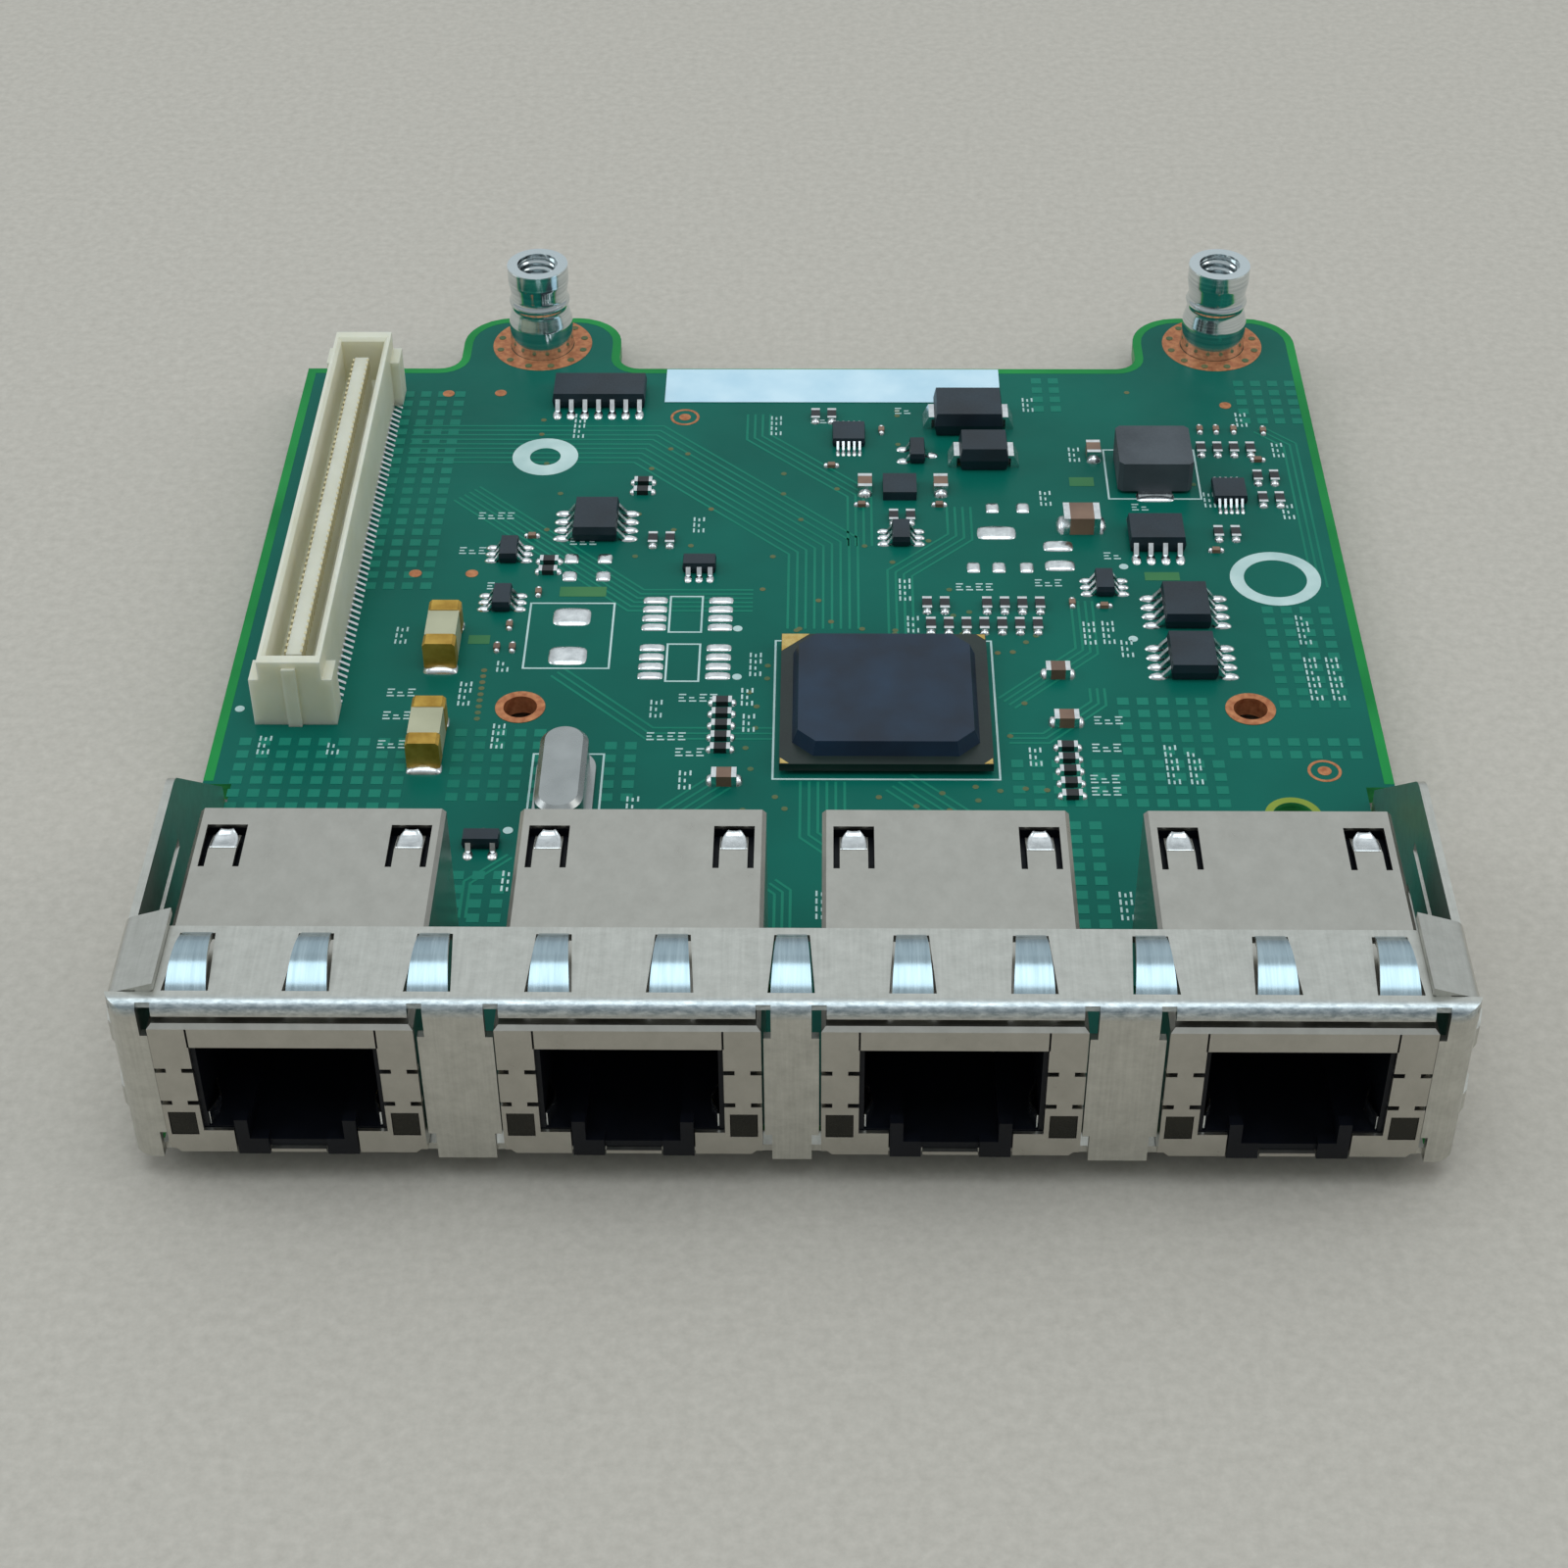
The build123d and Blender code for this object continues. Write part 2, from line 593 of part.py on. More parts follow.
def jack_housing():
    half = HOUSING_W / 2
    low = JACK_SHEET + CLEAR
    top = JACK_H - JACK_SHEET - CLEAR
    body = block(-half, half, low, HOUSING_BACK, low, top)
    body += block(-half, half, STRIP_D + CLEAR, HOUSING_BACK, 0, low)
    body -= block(-PORT_W / 2, PORT_W / 2, -low, PORT_D, PORT_FLOOR, PORT_TOP)
    body -= block(-LATCH_W / 2, LATCH_W / 2, -low, PORT_D, LATCH_FLOOR, PORT_FLOOR)
    bent = TONGUE_WINDOW * sin(radians(TONGUE_DROP)) + CLEAR
    for side in (-1, 1):
        inner = LATCH_W / 2 - LEDGE_W
        ledge = block(inner, LATCH_W / 2, 0, GUIDE_D, -GUIDE_LOW, LEDGE_TOP)
        guide = ledge + block(LATCH_W / 2, LATCH_W / 2 + GUIDE_W, 0, GUIDE_D, -GUIDE_LOW, GUIDE_TOP)
        body += guide if side > 0 else mirror(guide, Plane.YZ)
        pipe = Box(PIPE_W + 4 * CLEAR, 2 * PIPE_L + 2 * CLEAR, PIPE_H + 2 * CLEAR)
        body -= Pos(side * PIPE_X, 0, PIPE_Z) * pipe
        x = side * (half - TONGUE_SIDE - TONGUE_W / 2)
        rear = JACK_D - TONGUE_REAR
        front = rear - TONGUE_WINDOW - TONGUE_LEG
        body -= block(x - TONGUE_W, x + TONGUE_W, front, rear, top - bent, JACK_H)
        body += Pos(side * PEG_X, PEG_Y, 0) * prism(PEG_R, PEG_SIDES, -BOARD_T - PEG_STAND, low)
    wide = JACK_W / 2 - MAGNETICS_SIDE + CLEAR
    rear = JACK_D - MAGNETICS_REAR + CLEAR
    return body - block(-wide, wide, MAGNETICS_FRONT - CLEAR, rear, -CLEAR, JACK_H - MAGNETICS_ROOF + CLEAR)


def jack_contacts():
    roof = PORT_TOP - CLEAR
    tip = PORT_TOP - WIRE_DROP
    points = [
        (WIRE_FRONT, roof),
        (WIRE_TIP_Y, tip),
        (WIRE_TIP_Y, tip + WIRE_T),
        (WIRE_FRONT + 4 * WIRE_T, roof),
    ]
    wire = slab(Plane.YZ, points, WIRE_W)
    middle = (WIRE_COUNT - 1) / 2
    return [Pos((i - middle) * WIRE_PITCH, 0, 0) * wire for i in range(WIRE_COUNT)]


def jack_light_pipes():
    pipe = Box(PIPE_W, PIPE_L - CLEAR, PIPE_H)
    return [Pos(side * PIPE_X, (PIPE_L + CLEAR) / 2, PIPE_Z) * pipe for side in (-1, 1)]


def jack_magnetics():
    half = JACK_W / 2 - MAGNETICS_SIDE
    rear = JACK_D - MAGNETICS_REAR
    return block(-half, half, MAGNETICS_FRONT, rear, CLEAR, JACK_H - MAGNETICS_ROOF)


def mezzanine_place():
    return Pos(-BOARD_W / 2 + MEZZ_SIDE, BOARD_BACK - MEZZ_REAR - MEZZ_L, TOP)


def mezzanine_housing():
    half = MEZZ_W / 2
    trough = half - MEZZ_WALL
    body = block(-half, half, 0, MEZZ_L, 0, MEZZ_H)
    for y in (0, MEZZ_L - MEZZ_EAR_L):
        body += block(-MEZZ_EAR_W / 2, MEZZ_EAR_W / 2, y, y + MEZZ_EAR_L, 0, MEZZ_EAR_H)
    rib = block(-MEZZ_RIB_W / 2, MEZZ_RIB_W / 2, -MEZZ_RIB_T, MEZZ_L + MEZZ_RIB_T, 0, MEZZ_H - MEZZ_WALL)
    body += rib
    body -= block(-trough, trough, MEZZ_END, MEZZ_L - MEZZ_END, MEZZ_FLOOR, MEZZ_H)
    rim = body.edges().filter_by_position(Axis.Z, MEZZ_H, MEZZ_H)
    mouth = rim.filter_by_position(Axis.X, -trough, trough)
    mouth = mouth.filter_by_position(Axis.Y, MEZZ_END, MEZZ_L - MEZZ_END)
    body = chamfer(mouth, MEZZ_LEAD_IN)
    end = MEZZ_END + MEZZ_TONGUE_END
    tongue = block(
        -MEZZ_TONGUE_W / 2,
        MEZZ_TONGUE_W / 2,
        end,
        MEZZ_L - end,
        MEZZ_FLOOR - CLEAR,
        MEZZ_FLOOR + MEZZ_TONGUE_H,
    )
    return body + tongue


def mezzanine_contacts():
    room = MEZZ_L - 2 * MEZZ_EAR_L - TAIL_PITCH
    count = int(room / TAIL_PITCH) + 1
    start = (MEZZ_L - (count - 1) * TAIL_PITCH) / 2
    near = MEZZ_W / 2
    tail = slab(Plane.XZ, [(near, 0), (near + TAIL_L, 0), (near, TAIL_T)], TAIL_W)
    tails = []
    for i in range(count):
        for turn in (0, 180):
            tails.append(Pos(0, start + i * TAIL_PITCH, 0) * Rot(0, 0, turn) * tail)
    return tails


def fixing_post():
    points = [
        (0, 0),
        (POST_R, 0),
        (POST_R, POST_FOOT_H),
        (POST_WAIST_R, POST_WAIST_Z),
        (POST_HEAD_R, POST_H - POST_HEAD_H),
        (POST_HEAD_R, POST_H),
        (POST_BORE_R, POST_H),
        (POST_BORE_R, POST_H - POST_BORE_D),
        (0, POST_H - POST_BORE_D),
    ]
    post = revolve(Plane.XZ * make_face(Polyline(*points, close=True)), Axis.Z)
    post += prism(POST_SHANK_R, POST_SHANK_SIDES, -BOARD_T, 0)
    return post + prism(POST_FLANGE_R, POST_FLANGE_SIDES, -BOARD_T - UNDERSIDE, -BOARD_T)


def controller():
    place = Pos(AXIS_X, spot(0, CHIP_V).position.Y, TOP)
    substrate = Pos(0, 0, BALL_H + CHIP_T / 2) * Box(CHIP, CHIP, CHIP_T)
    outline = chamfer(Rectangle(CAP_SIZE, CAP_SIZE).vertices(), CAP_CORNER)
    cap = Pos(0, 0, BALL_H + CHIP_T) * extrude(outline, CAP_T, taper=CAP_DRAFT)
    reach = (BALL_ROW - 1) * BALL_PITCH / 2
    ball = prism(BALL_R, BALL_SIDES, 0, BALL_H)
    spots = []
    for i in range(BALL_ROW):
        a = -reach + i * BALL_PITCH
        spots += [(a, -reach), (a, reach)]
        if 0 < i < BALL_ROW - 1:
            spots += [(-reach, a), (reach, a)]
    balls = [place * Pos(x, y, 0) * ball for x, y in spots]
    return place * substrate, place * cap, balls


def crystal():
    place = spot(*CRYSTAL_AT, 90)
    base = extrude(SlotOverall(CRYSTAL_L, CRYSTAL_W), CRYSTAL_BASE)
    outline = SlotOverall(CRYSTAL_L - 2 * CRYSTAL_RIM, CRYSTAL_W - 2 * CRYSTAL_RIM)
    can = extrude(outline, CRYSTAL_H - CRYSTAL_BASE)
    can = chamfer(can.faces().sort_by(Axis.Z)[-1].edges(), CRYSTAL_EDGE)
    return place * base, place * Pos(0, 0, CRYSTAL_BASE) * can


def fuses():
    core = FUSE_SIZE - 2 * FUSE_STEP
    body = Pos(0, 0, FUSE_SIZE / 2) * Box(FUSE_L - 2 * FUSE_CAP, core, core)
    cap = Box(FUSE_CAP, FUSE_SIZE, FUSE_SIZE)
    cap = chamfer(cap.edges().filter_by(Axis.X), FUSE_EDGE)
    reach = (FUSE_L - FUSE_CAP) / 2
    bodies = []
    caps = []
    for u, v in FUSES_AT:
        place = spot(u, v, 90)
        bodies.append(place * body)
        caps += [place * Pos(side * reach, 0, FUSE_SIZE / 2) * cap for side in (-1, 1)]
    return bodies, caps


def leaded(count, package, places):
    """Moulded bodies with gull-wing leads along both long sides."""
    pitch, length, width, height, span, lead_w, lead_t = package
    middle = (height + BODY_LIFT) / 2
    outline = Pos(0, 0, middle) * Rectangle(length, width)
    up = extrude(outline, height - middle, taper=BODY_DRAFT)
    down = extrude(outline, middle - BODY_LIFT, dir=(0, 0, -1), taper=BODY_DRAFT)
    body = up + down
    near = width / 2
    far = span / 2
    knee = near + LEAD_KNEE * (far - near)
    points = [
        (near, middle + lead_t),
        (knee + lead_t, lead_t),
        (far, lead_t),
        (far, 0),
        (knee, 0),
        (near, middle - lead_t),
    ]
    lead = slab(Plane.YZ, points, lead_w)
    rear = count // 2
    bodies = []
    leads = []
    for u, v, turn in places:
        bodies.append(spot(u, v, turn) * body)
        for half_turn, row in ((0, rear), (180, count - rear)):
            for i in range(row):
                x = (i - (row - 1) / 2) * pitch
                leads.append(spot(u, v, turn + half_turn) * Pos(x, 0, 0) * lead)
    return bodies, leads


def inductor():
    place = spot(*COIL_AT)
    outline = chamfer(Rectangle(COIL_L, COIL_W).vertices(), COIL_CORNER)
    core = Pos(0, 0, COIL_LIFT) * extrude(outline, COIL_H - COIL_LIFT)
    pad = Box(COIL_PAD_W, COIL_PAD_L, COIL_LIFT, align=(Align.CENTER, Align.MAX, Align.MIN))
    reach = COIL_W / 2 + COIL_PAD_OUT
    pads = [place * Rot(0, 0, turn) * Pos(0, reach, 0) * pad for turn in (0, 180)]
    return place * core, pads


def diodes():
    bodies = []
    leads = []
    for length, width, height, u, v in DIODES:
        middle = height / 2
        outline = Pos(0, 0, middle) * Rectangle(length, width)
        body = extrude(outline, middle, taper=BODY_DRAFT)
        body += extrude(outline, middle - BODY_LIFT, dir=(0, 0, -1), taper=BODY_DRAFT)
        bodies.append(spot(u, v) * body)
        near = length / 2
        points = [
            (near, middle + DIODE_LEAD_T / 2),
            (near + 2 * DIODE_LEAD_T, middle + DIODE_LEAD_T / 2),
            (near + DIODE_FOOT, DIODE_LEAD_T),
            (near + DIODE_FOOT, 0),
            (near + DIODE_LEAD_T, 0),
            (near + DIODE_LEAD_T, middle - DIODE_LEAD_T / 2),
            (near, middle - DIODE_LEAD_T / 2),
        ]
        lead = slab(Plane.XZ, points, DIODE_LEAD_W)
        leads += [spot(u, v, turn) * lead for turn in (0, 180)]
    return bodies, leads


def chips(size, places):
    """Chip parts: a body between two plated ends."""
    length, width, height, end = size
    body = Pos(0, 0, height / 2) * Box(length - 2 * end, width, height)
    cap = Pos(0, 0, height / 2) * Box(end, width, height)
    reach = (length - end) / 2
    bodies = [place * body for place in places]
    ends = [place * Pos(side * reach, 0, 0) * cap for place in places for side in (-1, 1)]
    return bodies, ends


def chip_row_places():
    places = []
    for u, v, across, along, turn in CHIP_ROWS:
        for i in range(across):
            for j in range(along):
                x = (i - (across - 1) / 2) * CHIP_PITCH
                y = (j - (along - 1) / 2) * CHIP_PITCH
                places.append(spot(u, v) * Pos(x, y, 0) * Rot(0, 0, turn))
    return places


def card():
    """Every node of the card by name."""
    nodes = {"circuit_board": circuit_board(), "io_bracket": io_bracket()}
    shield = jack_shield()
    housing = jack_housing()
    magnetics = jack_magnetics()
    contacts = jack_contacts()
    pipes = jack_light_pipes()
    for number, x in enumerate(JACK_X, 1):
        place = jack_place(x)
        nodes[f"jack_shield_{number}"] = place * shield
        nodes[f"jack_housing_{number}"] = place * housing
        nodes[f"jack_magnetics_{number}"] = place * magnetics
        nodes[f"jack_contacts_{number}"] = [place * wire for wire in contacts]
        nodes[f"jack_light_pipes_{number}"] = [place * pipe for pipe in pipes]
    nodes["mezzanine_housing"] = mezzanine_place() * mezzanine_housing()
    nodes["mezzanine_contacts"] = [mezzanine_place() * tail for tail in mezzanine_contacts()]
    for name, x in zip(("post_left", "post_right"), POST_X):
        nodes[name] = Pos(x, POST_Y, TOP) * fixing_post()
    nodes["controller_substrate"], nodes["controller_cap"], nodes["controller_balls"] = controller()
    nodes["crystal_base"], nodes["crystal_can"] = crystal()
    nodes["fuse_bodies"], nodes["fuse_caps"] = fuses()
    nodes["logic_body"], nodes["logic_leads"] = leaded(LOGIC_COUNT, LOGIC, LOGIC_AT)
    nodes["so8_bodies"], nodes["so8_leads"] = leaded(SO8_COUNT, SO8, SO8_AT)
    nodes["msop_bodies"], nodes["msop_leads"] = leaded(MSOP_COUNT, MSOP, MSOP_AT)
    six_bodies, six_leads = leaded(SOT6_COUNT, SOT6, SOT6_AT)
    three_bodies, three_leads = leaded(SOT3_COUNT, SOT3, SOT3_AT)
    nodes["sot_bodies"] = six_bodies + three_bodies
    nodes["sot_leads"] = six_leads + three_leads
    nodes["qfn_body"] = spot(*QFN_AT) * Pos(0, 0, QFN_H / 2) * Box(QFN_SIZE, QFN_SIZE, QFN_H)
    nodes["inductor_core"], nodes["inductor_pads"] = inductor()
    nodes["diode_bodies"], nodes["diode_leads"] = diodes()
    small, small_ends = chips(CAP_SMALL, [spot(*at) for at in CAPS_SMALL_AT])
    large, large_ends = chips(CAP_LARGE, [spot(*at) for at in CAPS_LARGE_AT])
    nodes["capacitor_bodies"] = small + large
    nodes["capacitor_ends"] = small_ends + large_ends
    nodes["resistor_bodies"], nodes["resistor_ends"] = chips(RESISTOR, chip_row_places())
    return nodes


os.makedirs("parts", exist_ok=True)
for node, shape in card().items():
    solid = Compound(children=shape) if isinstance(shape, list) else shape
    export_step(solid, f"parts/{node}.step")
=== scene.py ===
# %% [markdown]
# # Dressing a network card
# The CAD model gives every solid of the card: board, bracket, jacks, connector and packages.
# This lesson loads it as a fixed frame and adds what makes it look real: copper, solder,
# printed ink, plated metal and moulded plastic. Every new piece is a numpy surface whose
# place is in its mesh, so each object stays at the origin.

import bpy
import numpy as np
from mathutils import Matrix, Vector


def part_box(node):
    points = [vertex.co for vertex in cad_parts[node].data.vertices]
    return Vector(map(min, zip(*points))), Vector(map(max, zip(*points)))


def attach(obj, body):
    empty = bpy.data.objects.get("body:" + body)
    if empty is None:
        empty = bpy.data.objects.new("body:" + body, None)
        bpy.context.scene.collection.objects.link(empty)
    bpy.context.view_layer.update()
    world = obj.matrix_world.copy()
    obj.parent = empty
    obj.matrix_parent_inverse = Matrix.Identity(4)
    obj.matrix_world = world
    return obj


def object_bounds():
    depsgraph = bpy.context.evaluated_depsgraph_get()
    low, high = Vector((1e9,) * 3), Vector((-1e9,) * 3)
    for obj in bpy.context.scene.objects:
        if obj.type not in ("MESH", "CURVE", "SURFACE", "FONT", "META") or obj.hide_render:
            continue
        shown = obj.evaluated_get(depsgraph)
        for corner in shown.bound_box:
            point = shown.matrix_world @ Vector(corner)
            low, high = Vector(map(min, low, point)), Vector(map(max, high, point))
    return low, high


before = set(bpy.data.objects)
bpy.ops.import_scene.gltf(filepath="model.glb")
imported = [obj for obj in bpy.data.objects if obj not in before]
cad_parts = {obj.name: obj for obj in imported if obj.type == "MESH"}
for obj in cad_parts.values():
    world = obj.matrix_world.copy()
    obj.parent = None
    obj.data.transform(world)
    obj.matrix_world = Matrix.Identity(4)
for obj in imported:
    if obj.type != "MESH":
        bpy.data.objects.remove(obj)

CAD_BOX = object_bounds()
MM = 0.001
DATUM = 0.3  # the measuring plane lies this far ahead of the jack faces
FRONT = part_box("jack_shield_1")[0][1] / MM - DATUM
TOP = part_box("circuit_board")[1][2] / MM
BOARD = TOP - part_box("circuit_board")[0][2] / MM
BOARD_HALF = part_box("circuit_board")[1][0] / MM
TAB_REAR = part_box("circuit_board")[1][1] / MM - FRONT
TAB_L = 9.2
BOARD_REAR = TAB_REAR - TAB_L
JACK_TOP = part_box("jack_shield_1")[1][2] / MM - TOP
JACK_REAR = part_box("jack_shield_1")[1][1] / MM - FRONT
FLANGE_RISE = 1.6  # bracket flange above the jacks
BEND_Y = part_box("io_bracket")[0][1]
BEND_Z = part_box("jack_shield_1")[1][2] + FLANGE_RISE * MM
print("measuring plane at", round(FRONT, 3), "mm, board top at", round(TOP, 3), "mm")

# %% [markdown]
# ## Colours and nodes
# A colour picked from a paint chart is an sRGB hex value, but shaders work with linear light,
# so one function converts it. One more function adds any node: it sets plain properties by
# name and fills inputs either with values or with links from other sockets.

# %% Colour and node helpers
def linear(code):
    """Linear RGBA of an sRGB hex colour: each channel is raised by the sRGB curve."""
    s = np.array([int(code[i:i + 2], 16) for i in (1, 3, 5)]) / 255
    rgb = np.where(s <= 0.04045, s / 12.92, ((s + 0.055) / 1.055) ** 2.4)
    return (*rgb.tolist(), 1.0)


def node(tree, kind, inputs=None, **settings):
    """Add a node; inputs maps a socket name or number to a value or to a socket to link."""
    made = tree.nodes.new(kind)
    for key, value in settings.items():
        setattr(made, key, value)
    for key, value in (inputs or {}).items():
        if isinstance(value, bpy.types.NodeSocket):
            tree.links.new(value, made.inputs[key])
        else:
            made.inputs[key].default_value = value
    return made


def new_finish(name, **sockets):
    """New material with a Principled shader whose constant sockets are set directly."""
    material = bpy.data.materials.new(name)
    material.use_nodes = True
    shader = material.node_tree.nodes["Principled BSDF"]
    for key, value in sockets.items():
        shader.inputs[key.replace("_", " ")].default_value = value
    return material, material.node_tree, shader


def ramp_of(tree, factor, low, high, dark, light):
    """Colour ramp between two hex colours over a band of the factor."""
    ramp = node(tree, "ShaderNodeValToRGB", {"Fac": factor})
    ramp.color_ramp.elements[0].position = low
    ramp.color_ramp.elements[0].color = linear(dark)
    ramp.color_ramp.elements[1].position = high
    ramp.color_ramp.elements[1].color = linear(light)
    return ramp.outputs["Color"]


print("mid green is", [round(c, 3) for c in linear("#0e6a55")])

# %% [markdown]
# ## Grain that has a real size
# Almost every surface here is a slow change of tone, a fine grain and a little bump. All of
# them are noise on Object coordinates, divided by a grain size in millimetres, so the scale
# of a pattern is the scale of the real one.

# %% Pattern helpers
BAND = (0.3, 0.7)  # most noise values lie between these


def stretched(tree, size_mm):
    """Object coordinates divided by a grain size in mm, one for all axes or one for each."""
    place = node(tree, "ShaderNodeTexCoord")
    scale = [1 / (MM * float(s)) for s in np.broadcast_to(size_mm, 3)]
    settings = {"Vector": place.outputs["Object"], "Scale": scale}
    return node(tree, "ShaderNodeMapping", settings).outputs["Vector"]


def noise(tree, size_mm, detail=2.0, rough=0.5):
    """Noise value with a grain size in mm."""
    grain = {"Detail": detail, "Roughness": rough, "Scale": 1.0, "Vector": stretched(tree, size_mm)}
    return node(tree, "ShaderNodeTexNoise", grain).outputs["Fac"]


def between(tree, value, low, high, to_low, to_high):
    """Map a value from one band to another, held at the ends."""
    bands = {"From Min": low, "From Max": high, "To Min": to_low, "To Max": to_high, "Value": value}
    return node(tree, "ShaderNodeMapRange", bands).outputs["Result"]


def bump(tree, shader, height, depth_mm):
    """Link a height value to the shader's normal, with its depth in mm."""
    depth = {"Height": height, "Strength": 1.0, "Distance": depth_mm * MM}
    made = node(tree, "ShaderNodeBump", depth)
    tree.links.new(made.outputs["Normal"], shader.inputs["Normal"])


print("most noise lies between", *BAND)


# %% Links and sums
def paint(tree, shader, colour, gloss):
    """Link a colour and a roughness to the shader."""
    tree.links.new(colour, shader.inputs["Base Color"])
    tree.links.new(gloss, shader.inputs["Roughness"])


def axes(tree, kind):
    """X, Y and Z of one kind of texture coordinate."""
    place = node(tree, "ShaderNodeTexCoord").outputs[kind]
    return node(tree, "ShaderNodeSeparateXYZ", {"Vector": place}).outputs


def maths(tree, operation, *values):
    """Result of one operation on numbers or sockets."""
    return node(tree, "ShaderNodeMath", dict(enumerate(values)), operation=operation).outputs[0]


def blended(tree, share, first, second):
    """Mix two colour sockets by a share from 0 to 1."""
    made = node(tree, "ShaderNodeMix", {0: share, 6: first, 7: second}, data_type="RGBA")
    return made.outputs[2]


print("node helpers ready")

# %% [markdown]
# ## Metals
# A plated sheet shows what is around it. Its own detail is a grain left by rolling and
# tumbling: faint streaks along the strip and clouds in the plating. Along the bend lies a
# mottled, bluish painted highlight, where the bent sheet catches the light. The streaks are
# noise that is stretched along Y and Z, which is the way the bracket's strip ran before it was
# folded, and the painted highlight is placed from the place of the bend.

# %% Plated bracket steel
# Zinc-plated cold-rolled steel, folded: satin and grey, so it shows the room softly.
bracket_steel, tree, shader = new_finish("zinc_plated_sheet_steel", Metallic=1.0)
streak = noise(tree, (0.22, 5.0, 5.0), 3.0)
cloud = noise(tree, (1.6, 1.2, 1.2), 6.0, 0.75)
both = maths(tree, "MULTIPLY_ADD", streak, 0.5, cloud)
plain = ramp_of(tree, between(tree, both, 0.5, 1.0, 0, 1), 0.0, 1.0, "#b9b8b1", "#d1d0c9")
# Painted highlight: a mottled, bluish band is blended into the plain steel along the front bend.
mottle = noise(tree, (0.8, 0.3, 0.3), 4.0, 0.7)
painted_bend_highlight = ramp_of(tree, mottle, 0.36, 0.64, "#94a0a6", "#d3dadc")
axis = axes(tree, "Object")
highlight_near_face = between(tree, axis["Y"], BEND_Y + 0.25 * MM, BEND_Y + 1.0 * MM, 1, 0)
highlight_near_top = between(tree, axis["Z"], BEND_Z - 1.2 * MM, BEND_Z - 0.6 * MM, 0, 1)
line = maths(tree, "MULTIPLY", highlight_near_face, highlight_near_top)
gloss = between(tree, both, 0.5, 1.0, 0.42, 0.32)
paint(tree, shader, blended(tree, line, plain, painted_bend_highlight), gloss)
bump(tree, shader, mottle, 0.002)


# %% Other plated metals
def plated(name, metallic, grain_mm, tones, gloss, depth_mm=0.0, detail=2.0, rough=0.5, grit_mm=None):
    """Metal whose tone and roughness follow one noise, with a bump from it or from a finer grit."""
    material, tree, shader = new_finish(name, Metallic=metallic)
    grain = noise(tree, grain_mm, detail, rough)
    tone = ramp_of(tree, grain, *BAND, *tones)
    paint(tree, shader, tone, between(tree, grain, *BAND, *gloss))
    if depth_mm:
        bump(tree, shader, noise(tree, grit_mm) if grit_mm else grain, depth_mm)
    return material


# The bracket's steel on its bowed fingers, burnished by rubbing: smoother. Its darker, bluish tone is a
# painted reflection of the bluish light above.
finger_steel_painted_reflection = plated(
    "burnished_zinc_with_painted_reflection", 1.0, (0.25, 4.0, 4.0), ("#9aacb4", "#b0c1c8"), (0.18, 0.24), 0.0004, 3.0
)
# Nickel-plated copper alloy, drawn and folded: warmer, finer and smoother than the bracket.
shield_nickel = plated(
    "satin_nickel_shield", 1.0, (1.8, 2.6, 2.2), ("#b0ada5", "#bdbab2"), (0.27, 0.36), 0.003, 6.0, 0.7,
    grit_mm=0.2,
)
# Bright zinc on a turned post: nearly a mirror, with fine rings left by the tool.
post_zinc = plated(
    "bright_zinc_plating", 1.0, (30.0, 30.0, 0.15), ("#c3cccf", "#e0e7e8"), (0.1, 0.18), 0.002, 1.0
)
# Tin on copper leads and reflowed solder: pale and smooth, with a soft-edged gloss.
tin = plated("reflowed_tin", 1.0, 0.6, ("#d3d6d7", "#f0f2f2"), (0.18, 0.28), 0.002)
# Gold flash over nickel, on the jacks' contacts and the controller's corner marks.
gold = plated("gold_flash", 0.8, 0.8, ("#c3a056", "#dcc27c"), (0.2, 0.34), 0.003)
# Bare copper lands with a passivating film: orange-brown and dull.
copper = plated("filmed_copper", 0.6, 0.5, ("#a8633e", "#d08d60"), (0.38, 0.52), detail=3.0)
# Drawn nickel-silver can of the crystal: satin with a slight orange peel.
can_metal = plated("drawn_nickel_silver", 1.0, 2.5, ("#a3a6a5", "#b3b6b5"), (0.24, 0.34), 0.004)
# Gilded brass caps of the fuses, dulled by soldering: deep yellow with little mirror.
cap_brass = plated("gilded_brass_caps", 0.5, 1.2, ("#a67d22", "#cba345"), (0.3, 0.42), detail=3.0)
print("metals:", len(bpy.data.materials))

# %% [markdown]
# ## Board, plastics and ceramics
# Solder mask is a green lacquer over glass cloth. From above it is deep teal, and the cut
# edge of the laminate is a brighter leaf green. The two are told apart by the surface normal:
# faces that look sideways are edge. The cloth's threads lie about half a millimetre apart
# and show through the gloss as a faint bump.

# %% Solder mask
mask_green, tree, shader = new_finish("green_solder_mask", IOR=1.5, Specular_IOR_Level=0.1)
tone = noise(tree, 14.0, 3.0)
flat = ramp_of(tree, tone, *BAND, "#06594d", "#096557")
cut = ramp_of(tree, noise(tree, (3.0, 3.0, 0.4)), *BAND, "#1f7d43", "#3c9a52")
level = maths(tree, "ABSOLUTE", axes(tree, "Normal")["Z"])
share = between(tree, level, 0.4, 0.6, 0, 1)
gloss = between(tree, noise(tree, 1.5), *BAND, 0.28, 0.38)
paint(tree, shader, blended(tree, share, cut, flat), gloss)
bump(tree, shader, noise(tree, 0.5, 1.0), 0.004)


def lacquered(name, dark, light):
    """Solder mask with metal under it: two close greens and the mask's own gloss."""
    material, tree, shader = new_finish(name, IOR=1.5, Specular_IOR_Level=0.1)
    tone = ramp_of(tree, noise(tree, 9.0), *BAND, dark, light)
    gloss = between(tree, noise(tree, 1.5), *BAND, 0.3, 0.42)
    paint(tree, shader, tone, gloss)
    return material


